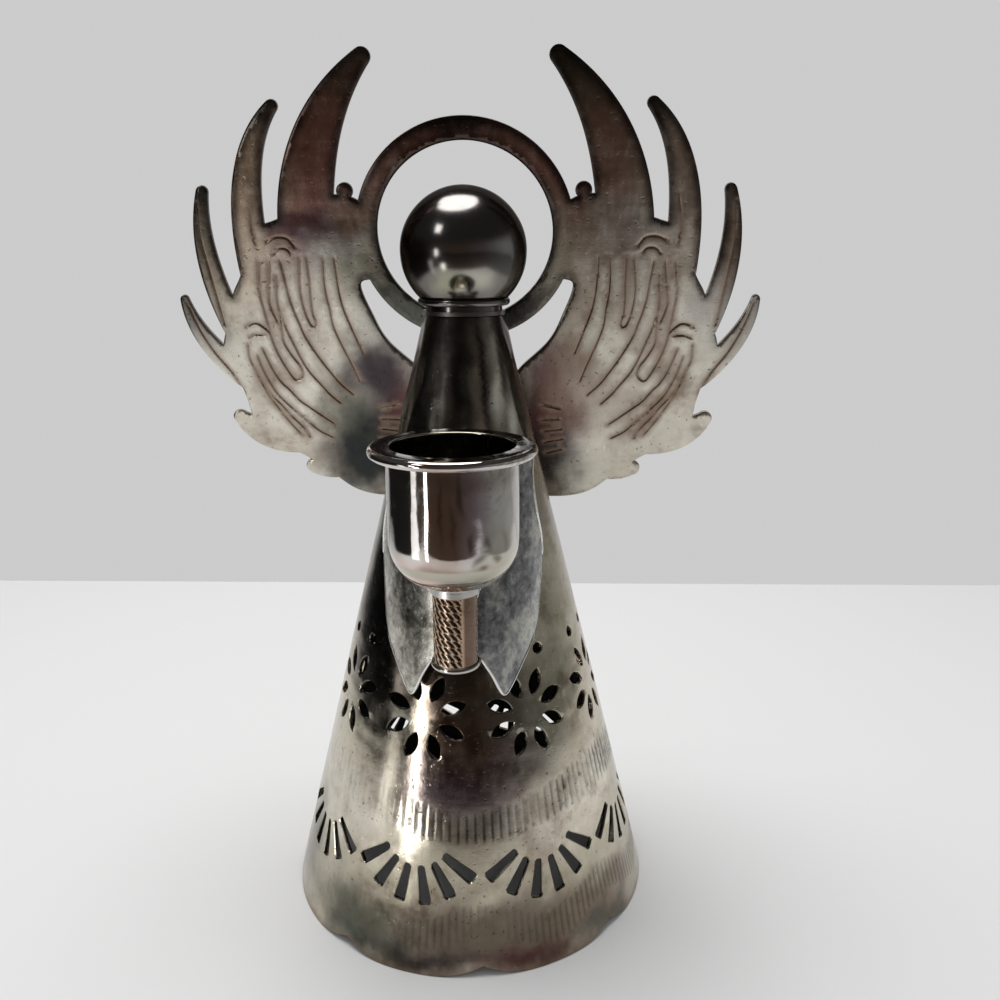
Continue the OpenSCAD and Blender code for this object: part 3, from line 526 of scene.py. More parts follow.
def slot_outline(near, far, near_w, far_w, step):
    """A straight slot along the second axis, wider at its far end, its corners a little round."""
    corner = 0.3
    right = np.array([(near_w / 2, near), (far_w / 2, far)])
    corners = np.vstack([right, (right * [-1, 1])[::-1]])
    sides = []
    for a, b in zip(corners, np.roll(corners, -1, 0)):
        run = (b - a) / np.linalg.norm(b - a)
        sides.append(evenly(np.vstack([a + corner * run, b - corner * run]), step))
    return np.vstack(sides)


def petal_outline(near, far, width, step):
    """A pointed petal: two equal arcs whose chord is its length."""
    half = (far - near) / 2
    r = (half * half + width * width / 4) / width
    reach = math.asin(half / r)
    n = max(int(2 * half / step), 4)
    t = np.linspace(-reach, reach, n + 1)
    right = columns(width / 2 - r + r * np.cos(t), (near + far) / 2 + r * np.sin(t))
    return np.vstack([right[:-1], (right * [-1, 1])[::-1][:-1]])


def turned(line, degrees, x, u):
    """The line turned about the origin and moved to x, u."""
    c, s = math.cos(math.radians(degrees)), math.sin(math.radians(degrees))
    return line @ np.array([[c, s], [-s, c]]) + [x, u]


def skirt_holes(step):
    """Outlines of all pierced holes on the unrolled cone."""
    fan = [turned(slot_outline(FAN_IN, FAN_OUT, FAN_NEAR_W, FAN_FAR_W, step),
                  180 - FAN_SPREAD / 2 + FAN_SPREAD * i / (FAN_SLOTS - 1), 0, FAN_UP)
           for i in range(FAN_SLOTS)]
    flower = [turned(petal_outline(PETAL_IN, PETAL_OUT, PETAL_W, step),
                     360 * (i + 0.5) / PETALS, 0, FLOWER_UP) for i in range(PETALS)]
    dots = [circle(side * DOT_GAP / 2, DOT_UP, DOT_R, step) for side in (-1, 1)]
    holes = []
    for i in range(MOTIFS):
        turn = TURN + 360 * (i + 0.5) / MOTIFS - 180
        for line in fan + flower + dots:
            holes.append(unrolled(*on_cone(line[:, 0], line[:, 1], turn)))
    return holes


def hem_height(azimuth):
    """Height of the hem's edge: zero on the lobes, rising as a square to each notch's point."""
    away = np.radians((azimuth - TURN + 180 / MOTIFS) % (360 / MOTIFS) - 180 / MOTIFS)
    x = np.abs(HEM_R * np.sin(away))
    rise = NOTCH_RIM + (NOTCH_H - NOTCH_RIM) * (1 - np.minimum(x / NOTCH_W, 1)) ** 2
    return np.where(x < NOTCH_W, rise, 0.0)


# Rows of stamped strokes: degrees between two strokes, height of the row's foot, how far the
# foot waves up and down, and length of a stroke
UPPER_TURN, UPPER_FOOT, UPPER_WAVE, UPPER_LONG = 3.0, 28.9, 1.7, 5.6
LOWER_TURN, LOWER_FOOT, LOWER_WAVE, LOWER_LONG = 2.25, 6.9, 1.9, 5.0
# Half the width of a stroke, and how much of its depth shows on the sheet's back
STROKE_HALF, STROKE_BACK = 0.6, 0.6
# Azimuth of the part beside the bright streak where the strokes are faint, its half width, the
# degrees over which they grow firm next to it, and the share of their depth there
FAINT_AT, FAINT_HALF, FAINT_FADE, FAINT = -55, 28, 15, 0.2
# How far a cut edge is rounded off, and the distance of the row of points beside it
EDGE_ROUND, EDGE_ROW = 0.16, 0.2
# Spacing of the points on the skirt's cut edges, and their numbers along the hem and the seam
SKIRT_STEP, HEM_POINTS, SEAM_POINTS = 0.62, 401, 147


def stamped_strokes():
    """Both rows of stamped strokes on the cone: azimuth, lower and upper height of each. The
    foot of the upper row waves three times round, that of the lower row once a motif."""
    upper = np.arange(0, 360, UPPER_TURN) - 180 + TURN + 1.5
    low = UPPER_FOOT - UPPER_WAVE * np.cos(np.radians(3 * (upper - 2)))
    high = low + UPPER_LONG - np.cos(np.radians(3 * (upper - 10)))
    lower = np.arange(0, 360, LOWER_TURN) - 180 + TURN + 1.1
    foot = LOWER_FOOT + LOWER_WAVE * np.cos(np.radians((lower - TURN) * MOTIFS))
    return np.vstack([columns(upper, low, high), columns(lower, foot, foot + LOWER_LONG)])


def skirt_surface(settings):
    """The skirt's sheet: the cone rolled out flat, meshed with all its holes and rolled up again.
    A point lies on the cone plus a soft relief, minus the stamped strokes, whose depth falls
    with the cosine of the distance, and minus a rounding at every cut edge. Its tone is the
    tarnish with painted shade and painted reflections laid in, darker in the worn strokes and
    along the hem."""
    holes = skirt_holes(SKIRT_STEP)
    azimuth = np.linspace(-180, 180, HEM_POINTS) + TURN
    hem = unrolled(azimuth, hem_height(azimuth))
    top = unrolled(azimuth, np.full_like(azimuth, SKIRT_H))[::-5]
    share = np.linspace(0, 1, SEAM_POINTS)[1:-1, None]
    right = hem[-1] * (1 - share) + top[0] * share
    left = top[-1] * (1 - share) + hem[0] * share
    outline = np.vstack([hem, right, top, left])
    edge_rows = [offset(hole, -EDGE_ROW, closed=True) for hole in holes]
    edge_rows += [offset(hem, EDGE_ROW)[2:-2], offset(top, EDGE_ROW)[1:-1]]
    strokes = stamped_strokes()
    low, high = unrolled(strokes[:, 0], strokes[:, 1]), unrolled(strokes[:, 0], strokes[:, 2])
    run = unit(high - low)
    across = columns(-run[:, 1], run[:, 0])
    share = np.linspace(-0.05, 1.05, 6)[:, None, None]
    shift = np.array([-0.5, 0.0, 0.5])[None, :, None, None]
    stroke_rows = ((low + (high - low) * share)[:, None] + shift * across).reshape(-1, 2)
    net = hexagon_points(outline.min(0), outline.max(0), settings.skirt_mesh)
    taken = np.vstack([outline] + holes)
    points = []
    for more, gap in ((np.vstack(edge_rows), 0.15), (stroke_rows, 0.3),
                      (net, 0.62 * settings.skirt_mesh)):
        points.append(spread(more, taken, gap))
        taken = np.vstack([taken, points[-1]])
    hole_middles = np.array([hole.mean(0) for hole in holes])

    def solid(middle):
        """Inside the outline and in none of the holes, each of which is tried only near it."""
        good = inside(middle, outline)
        for hole, centre in zip(holes, hole_middles):
            near = np.flatnonzero(np.abs(middle - centre).max(1) < 6.0)
            good[near[inside(middle[near], hole)]] = False
        return good

    flat, tris = triangulate(np.vstack(points), [outline] + holes, solid)
    azimuth, z = rolled(flat)
    drop = np.zeros(len(flat))
    drop[np.unique(open_edges(tris))] = EDGE_ROUND
    seam = np.abs(np.abs(azimuth - TURN) - 180) < 1e-6
    drop[seam & (z > NOTCH_H + 0.1) & (z < SKIRT_H - 0.1)] = 0.0
    gap = stretch_gap(flat, low, high, 0.8)
    stroke = 0.5 + 0.5 * np.cos(math.pi * np.minimum(gap, STROKE_HALF) / STROKE_HALF)
    beside = np.abs((azimuth - FAINT_AT + 180) % 360 - 180) - FAINT_HALF
    firm = np.clip(FAINT + beside / FAINT_FADE, FAINT, 1)
    stroke = settings.stroke_depth * stroke * firm
    a = np.radians(azimuth)
    normal = columns(np.sin(a) * COS, -np.cos(a) * COS, np.full_like(a, SIN))
    r = HEM_R - z * math.tan(LEAN)
    base = columns(r * np.sin(a), -r * np.cos(a), z)
    calm = np.clip(z / 6, 0, 1) * np.clip((SKIRT_H - z) / 5, 0, 1)
    relief = settings.relief * calm * waves(base, 11, 26, 7, 40)
    pressed = np.clip(1.3 - np.abs(z - FLOWER_UP) / 12, 0, 1)
    relief += settings.flower_relief * pressed * waves(base, 19, 20, 3, 8)
    neck = np.clip((z - 88) / 14, 0, 1) * np.clip((SKIRT_H - 0.5 - z) / 3, 0, 1)
    relief += settings.neck_relief * neck * waves(base * [1, 1, 0.16], 13, 18, 2.6, 7)
    front = base + normal * (relief - drop - stroke)[:, None]
    back = base + normal * (relief - SHEET - STROKE_BACK * stroke)[:, None]
    front[:, 2], back[:, 2] = np.maximum(front[:, 2], 0), np.maximum(back[:, 2], 0)
    shake = 1.5 - 1.2 * np.clip((z - 94) / 10, 0, 1)
    around = (azimuth + 180) % 360 - 180
    # Tarnish, with the table's painted shade and painted reflections laid in
    tone = tarnish_and_painted_light(around, z, BEIGE, SKIRT_TARNISH_AND_PAINTED_LIGHT, 31, np.radians(1) * r, shake)
    worn = np.clip(0.85 + 0.4 * waves(base, 17, 12, 9, 30), 0.1, 1) * np.where(z < 16, 0.65, 1.0)
    tone = darkened(tone, firm * worn * np.clip(1.3 - gap / 0.5, 0, 1), (0.06, 0.06, 0.05))
    rim = np.clip(1 - np.abs(z - hem_height(azimuth)) / 1.6, 0, 1)
    tone = darkened(tone, 0.7 * rim, BROWN)
    tris, front, back, tone = welded(base, tris, front, back, tone)
    points, tris, side = two_sided(front, back, tris)
    return points, tris, side, np.vstack([tone, tone])


# Wings and halo

def feather_outline(root, pull, tip, root_r, tip_r):
    """A feather round a bent middle line (1-t)^2 root + 2t(1-t) pull + t^2 tip, whose half
    width falls with the cosine of t from the root's to the tip's, and ends in a half circle."""
    root, pull, tip = (np.array([p[0] * HALF_SPAN, p[1] * WING_H]) for p in (root, pull, tip))
    root_r, tip_r = root_r * HALF_SPAN, tip_r * HALF_SPAN
    t = np.linspace(0, 1, 41)[:, None]
    middle = root * (1 - t) ** 2 + pull * 2 * t * (1 - t) + tip * t ** 2
    run = (pull - root) * (1 - t) + (tip - pull) * t
    run = unit(run)
    normal = columns(-run[:, 1], run[:, 0])
    half = tip_r + (root_r - tip_r) * np.cos(math.pi / 2 * t)
    end = math.atan2(run[-1, 1], run[-1, 0])
    turn = end + np.linspace(-math.pi / 2, math.pi / 2, 13)[1:-1]
    cap = tip + tip_r * columns(np.cos(turn), np.sin(turn))
    return np.vstack([middle - half * normal, cap, (middle + half * normal)[::-1]])


def wing_loops(step):
    """Outlines of the plate's forms: what it is made of, and what is cut out of it. The palm's
    part below the plate's lower edge is pressed onto that edge."""
    scale = [HALF_SPAN, WING_H]
    palm = np.maximum(smooth(np.array(PALM) * scale, 12, closed=True), [-HALF_SPAN, 0.0])
    gap = smooth(np.array(GAP) * scale, 12, closed=True)
    add, cut = [], []
    for side in (1, -1):
        mirror = [side, 1]
        cut.append((evenly(gap, step, closed=True) + [0, WING_UP]) * mirror)
        for line in [palm] + [feather_outline(*feather) for feather in FEATHERS]:
            add.append((evenly(line, step, closed=True) + [0, WING_UP]) * mirror)
        knob = circle(KNOB[0] * HALF_SPAN, WING_UP + KNOB[1] * WING_H, KNOB[2], step)
        add.append(knob * mirror)
    add.append(circle(0, HALO_UP, HALO_OUT, step))
    cut.append(circle(0, HALO_UP, HALO_IN, step))
    cut += [circle(0, up, RIVET_HOLE, 0.4) for up in RIVETS]
    return add, cut


def wing_grooves():
    """The engraved lines of both wings."""
    lines = [evenly(smooth(np.reshape(line, (-1, 2)), 6), 0.5) for line in ENGRAVED]
    return lines + [line * [-1, 1] for line in lines]


# Spacing of the points on the plate's cut edges, distance of the rows beside them, how far an
# edge is rounded off, and how wide
WING_STEP, WING_ROW, WING_ROUND, ROUND_WIDE = 0.55, 0.22, 0.16, 0.3
# Distance to an edge or a groove past which it no longer counts
WING_REACH = 2.1


def wing_surface(settings):
    """The wing plate: its outlines joined and meshed flat, then leaned back onto the skirt's
    rear line. The front carries grooves whose depth falls with the cosine of the distance
    to their lines, a soft relief and a rounding at every edge. Its tone is the tarnish with
    painted shade beside the neck and painted dark reflection on the upper feathers laid in,
    darker along the upper edges, and brown in the grooves, which don't show on the back."""
    add, cut = wing_loops(WING_STEP)
    grooves = wing_grooves()

    def solid(middle):
        """In one of the forms and in none of the openings: for a cut in a wing's palm, a
        feather or the halo may still cross it."""
        good = np.zeros(len(middle), bool)
        wings = len(FEATHERS) + 2
        for side in (0, 1):
            palm, feathers = add[side * wings], add[side * wings + 1:(side + 1) * wings]
            good |= inside(middle, palm) & ~inside(middle, cut[side])
            for loop in feathers:
                good |= inside(middle, loop)
        good |= np.hypot(middle[:, 0], middle[:, 1] - HALO_UP) < HALO_OUT
        good &= np.hypot(middle[:, 0], middle[:, 1] - HALO_UP) > HALO_IN
        for up in RIVETS:
            good &= np.hypot(middle[:, 0], middle[:, 1] - up) > RIVET_HOLE
        return good

    loops = add + cut
    taken = np.vstack(loops)
    net = hexagon_points(taken.min(0), taken.max(0), settings.wing_mesh)
    edge_rows = [offset(loop, d, closed=True) for d in (WING_ROW, -WING_ROW) for loop in loops]
    groove_rows = [offset(line, d) for line in grooves for d in (-0.55, -0.3, 0.0, 0.3, 0.55)]
    points = []
    for more, gap in ((np.vstack(edge_rows), 0.16), (np.vstack(groove_rows), 0.2),
                      (net, 0.6 * settings.wing_mesh)):
        points.append(spread(more, taken, gap))
        taken = np.vstack([taken, points[-1]])
    points = np.vstack(points)
    points = points[solid(points)]
    flat, tris = triangulate(points, loops, solid)
    edges = open_edges(tris)
    rim = stretch_gap(flat, flat[edges[:, 0]], flat[edges[:, 1]], WING_REACH)
    inward = 1 - np.minimum(rim, ROUND_WIDE) / ROUND_WIDE
    drop = WING_ROUND * (1 - np.sqrt(np.clip(1 - inward ** 2, 0, 1)))
    gap = stretch_gap(flat, np.vstack([line[:-1] for line in grooves]),
                      np.vstack([line[1:] for line in grooves]), WING_REACH)
    half = settings.groove_width / 2
    groove = settings.groove_depth * (0.5 + 0.5 * np.cos(math.pi * np.minimum(gap, half) / half))
    base = columns(flat[:, 0], HEM_R - flat[:, 1] * SIN, flat[:, 1] * COS)
    normal = np.array([0, -COS, -SIN])
    away = np.clip((np.hypot(base[:, 0], flat[:, 1] - 104) - 22) / 8, 0, 1)
    relief = settings.relief * 0.7 * waves(base, 5, 20, 10, 45) * away
    front = base + normal * (relief - drop - groove)[:, None]
    back = base + normal * (relief - WING_T)[:, None]
    # Tarnish with painted shade beside the neck and painted dark reflection on the upper feathers
    tone = tarnish_and_painted_light(flat[:, 0], flat[:, 1], PALE, WING_TARNISH_AND_PAINTED_LIGHT, 47)
    high = np.clip((flat[:, 1] - 118) / 26, 0.0, 1) * np.clip(1.35 - rim / 1.5, 0, 1)
    rear_tone = darkened(tone, 0.9 * high, BLACK)
    tone = darkened(rear_tone, 0.85 * (1 - 0.6 * high) * np.clip(1.2 - gap / 0.75, 0, 1), BROWN)
    points, tris, side = two_sided(front, back, tris)
    return points, tris, side, np.vstack([tone, rear_tone])


# Turned pieces and rims

def arc(x, y, r, start, end, count):
    """Points on an arc: centre plus radius times the cosine and sine of the turn in degrees."""
    t = np.radians(np.linspace(start, end, count))
    return columns(x + r * np.cos(t), y + r * np.sin(t))


def grid_faces(rows, count, rings):
    """Two triangles for each cell of a net of rows with count points each: a row closes on
    itself, and the last row meets the first where the rings are as many as the rows."""
    i, j = np.meshgrid(np.arange(rings), np.arange(count), indexing="ij")
    a, b, c, d = (((i + di) % rows * count + (j + dj) % count).ravel()
                  for di, dj in ((0, 0), (0, 1), (1, 1), (1, 0)))
    return np.vstack([columns(a, b, c), columns(a, c, d)])


def turned_shape(section, centre, count, relief):
    """A closed section of radii and heights carried once round the upright axis: sideways the
    radius times the sine of the turn, to the front the radius times its cosine. Relief moves
    the points outwards. Points that meet on the axis are joined."""
    a = np.arange(count) * 2 * math.pi / count
    r, h = np.repeat(section[:, :1], count, 1), np.repeat(section[:, 1:], count, 1)
    points = np.stack([r * np.sin(a), -r * np.cos(a), h], 2).reshape(-1, 3)
    points = points + unit(points * [1, 1, 0]) * relief(points)[:, None]
    tris = grid_faces(len(section), count, len(section))
    first, same = places(points * 10000)
    points, tris = points[first], same[tris]
    real = (tris[:, 0] != tris[:, 1]) & (tris[:, 1] != tris[:, 2]) & (tris[:, 2] != tris[:, 0])
    return points + centre, facing_out(points, tris[real])


def azimuth_of(points):
    """Degrees from the front round to the right about the upright axis."""
    return np.degrees(np.arctan2(points[:, 0], -points[:, 1]))


def facing_out(points, tris):
    """The triangles turned over if their tetrahedra to the origin add up to less than nothing."""
    a, b, c = points[tris[:, 0]], points[tris[:, 1]], points[tris[:, 2]]
    return tris if (a * np.cross(b, c)).sum() > 0 else tris[:, ::-1]


# Tones of the cup's flange and of its bore, and the radius to the flange's middle
FLANGE_TONE, BORE_TONE, FLANGE_MIDDLE = (0.07, 0.065, 0.06), (0.50, 0.48, 0.40), 13.1
# Radius of the round under the flange, and of the lip round the bore
UNDER_ROUND, LIP_ROUND = 0.5, 0.32


def cup_surface(settings):
    """The candle cup: a wall and a bottom joined by quarter rounds inside and out, a flat
    flange with a rolled edge, and a rounded lip. The outside is a little uneven, mostly
    along the wall, as drawn metal is. It has its tarnish with painted reflections laid in, a
    dark flange and a plain bore."""
    flat = CUP_R - CUP_ROUND
    under = CUP_H - 1.3
    wall = np.linspace(CUP_ROUND, under, 26)[1:]
    roll = FLANGE_R - ROLL_R, CUP_H - ROLL_R, ROLL_R
    sheet = CUP_R - BORE_R
    section = np.vstack([
        [(CUP_HOLE, 0)], arc(flat, CUP_ROUND, CUP_ROUND, -90, 0, 28),
        columns(np.full_like(wall, CUP_R), wall),
        arc(CUP_R + UNDER_ROUND, under, UNDER_ROUND, 180, 90, 6)[1:],
        arc(*roll, -186, -90, 9), arc(*roll, -90, 90, 17)[1:],
        [(13.6, CUP_H - 0.12), (12.4, CUP_H - 0.16)],
        arc(BORE_R + LIP_ROUND, CUP_H - LIP_ROUND, LIP_ROUND, 80, 180, 7),
        columns(np.full(12, BORE_R), np.linspace(CUP_H - 1.2, CUP_ROUND, 12)),
        arc(flat, CUP_ROUND, CUP_ROUND - sheet, 0, -90, 16)[1:], [(CUP_HOLE, sheet)]])

    def uneven(points):
        """Long soft flutes on the wall and short dents, none on the flange or the bore."""
        r = np.hypot(points[:, 0], points[:, 1])
        free = (r > BORE_R + 0.3) | (points[:, 2] < 4)
        free = free & (points[:, 2] < CUP_H - 1.4) & (points[:, 2] > 0.3)
        long = waves(points * [1, 1, 0.12], 61, 14, 2.5, 9)
        short = waves(points * [1, 1, 0.6], 62, 16, 2.0, 6)
        return free * settings.cup_relief * (long + 0.45 * short)

    points, tris = turned_shape(section, (0, -REACH, CUP_Z), 224, uneven)
    own = points + [0, REACH, -CUP_Z]
    r, z = np.hypot(own[:, 0], own[:, 1]), own[:, 2]
    # Tarnish with the painted reflection bands laid in
    tone = tarnish_and_painted_light(azimuth_of(own), z, settings.cup_colour, CUP_TARNISH_AND_REFLECTIONS, 83,
                     CUP_R * np.radians(1), 0.5)
    flange = np.clip(1.5 - np.abs(r - FLANGE_MIDDLE) / 0.9, 0, 1) * (z > CUP_H - 1)
    tone = darkened(tone, 0.95 * flange, FLANGE_TONE)
    outer = (r > BORE_R + 0.3) | (z < 4)
    return points, tris, np.where(outer[:, None], tone, [BORE_TONE])


def ball_surface(settings):
    """The hollow ball: two arcs about one centre, from the flat seat round to the top, with
    the faint unevenness of spun metal."""
    start = -math.degrees(math.acos(BALL_SEAT / BALL_R))
    inner = BALL_R - SHEET
    stop = -math.degrees(math.acos(BUSH_HOLE / inner))
    low = BALL_R * math.sin(math.radians(start))
    section = np.vstack([
        arc(0, 0, BALL_R, start, 90, 90), arc(0, 0, inner, 90, stop, 40), [(BUSH_HOLE, low)]])
    section = np.maximum(section, [0, -BALL_R])

    def uneven(points):
        """Soft waves on the outside, none near the seat and at the top."""
        outside = np.linalg.norm(points, axis=1) > BALL_R - 0.1
        calm = np.clip((points[:, 2] - low) / 4, 0, 1)
        calm = calm * np.clip(np.hypot(points[:, 0], points[:, 1]) / 2, 0, 1)
        return outside * calm * settings.ball_relief * waves(points, 71, 16, 5, 14)

    points, tris = turned_shape(section, (0, 0, BALL_Z), 160, uneven)
    # The ball's colour with the tarnish and the painted reflections of the floor laid on it
    tone = tarnish_and_painted_light(azimuth_of(points), points[:, 2] - BALL_Z, settings.ball_colour, BALL_TARNISH_AND_REFLECTIONS,
                     89, np.radians(1) * np.hypot(points[:, 0], points[:, 1]), 0.5)
    return points, tris, tone


# The tube's scales: how many go round, height of a row, their slant, and how deep they are
SCALES, SCALE_ROW, SCALE_SLANT, SCALE_DEPTH = 20, 1.38, 0.9, 0.24
# The smooth strip at the tube's seam: its azimuth as cut and as toned, and half its width
SEAM_AT, STRIP_AT, STRIP_HALF = 48, 50, 26
# Tones of the tube, of its strip and of the ground of its scales
TUBE_TONE, STRIP_TONE = (0.46, 0.34, 0.25), (0.13, 0.085, 0.065)
SCALE_TONE = (0.03, 0.022, 0.018)


def tube_surface():
    """The socket tube: a plain tube into whose outside rows of slanted scales are cut. In each
    row, one scale is where the place along the row, plus half a scale in every second row and
    plus the slant, is near the middle of its stretch. The strip at the seam stays smooth."""
    length = TUBE_TOP - TUBE_LOW
    z = np.linspace(0, length, 118)
    section = np.vstack([columns(np.full_like(z, TUBE_R), z),
                         columns(np.full(8, TUBE_BORE), np.linspace(length, 0, 8))])

    def cut(points):
        """The scales' depth inwards on the outer face, none at the seam and at both ends."""
        along, up = np.radians(azimuth_of(points)), points[:, 2]
        row = up / SCALE_ROW
        t = row % 1
        place = along * SCALES / (2 * math.pi) + 0.5 * np.floor(row) + SCALE_SLANT * t
        mark = np.clip((0.33 - np.abs(place % 1 - 0.5)) / 0.16, 0, 1)
        mark = mark * np.clip((0.5 - np.abs(t - 0.5)) / 0.22, 0, 1)
        aside = np.abs(along - math.radians(SEAM_AT)) - math.radians(STRIP_HALF)
        calm = np.clip(aside / 0.1, 0, 1) * np.clip(up / 0.8, 0, 1)
        calm = calm * np.clip((length - up) / 0.8, 0, 1)
        return -SCALE_DEPTH * mark * calm * (np.hypot(points[:, 0], points[:, 1]) > TUBE_R - 0.1)

    points, tris = turned_shape(section, (0, -REACH, TUBE_LOW), 300, cut)
    own = points + [0, REACH, 0]
    depth = (TUBE_R - np.hypot(own[:, 0], own[:, 1])) / SCALE_DEPTH
    strip = np.clip((STRIP_HALF - np.abs(azimuth_of(own) - STRIP_AT)) / 6, 0, 1)
    tone = darkened(np.tile(TUBE_TONE, (len(points), 1)), 0.9 * strip, STRIP_TONE)
    tone = darkened(tone, np.clip(1.3 * depth, 0, 1) * (depth < 1.5), SCALE_TONE)
    return points, tris, tone


def sleeve_rim(side):
    """The rounded edge of a sleeve: the outline on the bent sheet's face, whose depth is the
    lean times the height less the bend's root, carried by a small circle. Only the stretch
    clear of skirt, cup and tube has it."""
    line = smooth(np.array(SLEEVE) * [SLEEVE_W, SLEEVE_H], 8, closed=True)
    line = evenly(line, 0.4, closed=True)
    x, z = line[:, 0] + SLEEVE_TIP[0], line[:, 1] + SLEEVE_TIP[1]
    lean = math.radians(SLEEVE_LEAN)
    y = ((z - BEND_Z) * math.tan(lean) - BEND_Y + 0.25
         - np.sqrt(SLEEVE_BEND ** 2 - (x + BEND_X) ** 2) / math.cos(lean))
    cup = (np.hypot(x, y + REACH) < CUP_R + 0.9) & (z > CUP_Z - 0.5)
    skirt = np.hypot(x, y) < HEM_R - z * math.tan(LEAN) + 0.45
    tube = np.hypot(x, y + REACH) < TUBE_R + 0.4
    free = ~(cup | skirt | tube)
    start = np.flatnonzero(~free)[0] if (~free).any() else 0
    order = (np.arange(len(x)) + start) % len(x)
    path = columns(x, y, z)[order]
    ends = np.flatnonzero(np.diff(free[order].astype(int))) + 1
    runs = zip(np.split(path, ends), np.split(free[order], ends))
    return [run * [side, 1, 1] for run, flag in runs if flag[0] and len(run) > 8]


def carried(path, r, count=10):
    """A circle of radius r carried along the path: each ring stands square to the chord of its
    neighbours, and both ends close on a point."""
    run = unit(np.gradient(path, axis=0))
    side = unit(np.cross(run, [0, 1, 0]))
    up = np.cross(side, run)
    a = np.arange(count) * 2 * math.pi / count
    n = len(path)
    fade = np.minimum(np.minimum(np.arange(n), np.arange(n)[::-1]) / 4, 1)
    size = r * np.sqrt(np.maximum(fade * (2 - fade), 0.02))
    ring = (path[:, None] + size[:, None, None] * (side[:, None] * np.cos(a)[:, None]
            + up[:, None] * np.sin(a)[:, None]))
    points = np.vstack([ring.reshape(-1, 3), path[:1], path[-1:]])
    j = np.arange(count)
    first = columns((j + 1) % count, j, np.full(count, n * count))
    last = columns(j + (n - 1) * count, (j + 1) % count + (n - 1) * count,
                   np.full(count, n * count + 1))
    tris = np.vstack([grid_faces(n, count, n - 1), first, last])
    return points, facing_out(points - points.mean(0), tris)


def joined(parts):
    """Several pairs of points and triangles as one pair."""
    starts = np.cumsum([0] + [len(points) for points, _ in parts[:-1]])
    return (np.vstack([points for points, _ in parts]),
            np.vstack([tris + start for (_, tris), start in zip(parts, starts)]))


# Finishes

class Field:
    """A value or colour on its way through a material. The usual operators add a Math node
    for a value and a Vector Math node for a vector, also with a plain number on the left."""

    def __init__(self, finish, socket, vector=False):
        self.finish, self.socket, self.vector = finish, socket, vector

    def _with(self, operation, other, swap=False):
        pair = [other, self] if swap else [self, other]
        vector = self.vector or getattr(other, "vector", False)
        if vector:
            pair = [(v,) * 3 if isinstance(v, (int, float)) else v for v in pair]
            node = self.finish.node("ShaderNodeVectorMath", {"operation": operation}, pair)
        else:
            node = self.finish.node("ShaderNodeMath", {"operation": operation}, pair)
        return Field(self.finish, node.outputs[0], vector)

    def __add__(self, other): return self._with("ADD", other)
    def __radd__(self, other): return self._with("ADD", other, True)
    def __sub__(self, other): return self._with("SUBTRACT", other)
    def __rsub__(self, other): return self._with("SUBTRACT", other, True)
    def __mul__(self, other): return self._with("MULTIPLY", other)
    def __rmul__(self, other): return self._with("MULTIPLY", other, True)
    def __truediv__(self, other): return self._with("DIVIDE", other)
    def highest(self, other): return self._with("MAXIMUM", other)

    def size(self):
        """The value without its sign."""
        node = self.finish.node("ShaderNodeMath", {"operation": "ABSOLUTE"}, [self])
        return Field(self.finish, node.outputs[0])

    def steps(self, low, high):
        """A smooth rise from 0 at low to 1 at high."""
        node = self.finish.node("ShaderNodeMapRange", {"interpolation_type": "SMOOTHSTEP"},
                                {"Value": self, "From Min": low, "From Max": high})
        return Field(self.finish, node.outputs["Result"])

    def axis(self, name):
        """One coordinate of a vector."""
        node = self.finish.node("ShaderNodeSeparateXYZ", {}, [self])
        return Field(self.finish, node.outputs[name])


class Nodes:
    """The empty node tree of a material or of the world."""

    def __init__(self, owner):
        owner.use_nodes = True
        self.tree = owner.node_tree
        self.tree.nodes.clear()

    def node(self, kind, settings, inputs):
        """A node of that kind: its settings first, then the value or the link of each socket."""
        node = self.tree.nodes.new(kind)
        for key, value in settings.items():
            if key == "stops":
                ramp = node.color_ramp
                while len(ramp.elements) < len(value):
                    ramp.elements.new(1.0)
                for element, (at, colour) in zip(ramp.elements, value):
                    element.position, element.color = at, (*colour, 1.0)
            else:
                setattr(node, key, value)
        pairs = inputs.items() if isinstance(inputs, dict) else enumerate(inputs)
        for key, value in pairs:
            if isinstance(value, Field):
                self.tree.links.new(value.socket, node.inputs[key])
            elif value is not None:
                node.inputs[key].default_value = value
        return node

    def source(self, kind, output, settings=None, vector=False):
        """What a node without inputs gives."""
        return Field(self, self.node(kind, settings or {}, {}).outputs[output], vector)

    def mix(self, share, a, b):
        """Colour a where the share is 0 and b where it is 1."""
        node = self.node("ShaderNodeMix", {"data_type": "RGBA"}, {
            0: share, 6: a if isinstance(a, Field) else (*a, 1.0),
            7: b if isinstance(b, Field) else (*b, 1.0)})
        return Field(self, node.outputs[2], True)

    def ramp(self, value, *stops):
        """Colours along a value."""
        node = self.node("ShaderNodeValToRGB", {"stops": stops}, {"Fac": value})
        return Field(self, node.outputs["Color"], True)


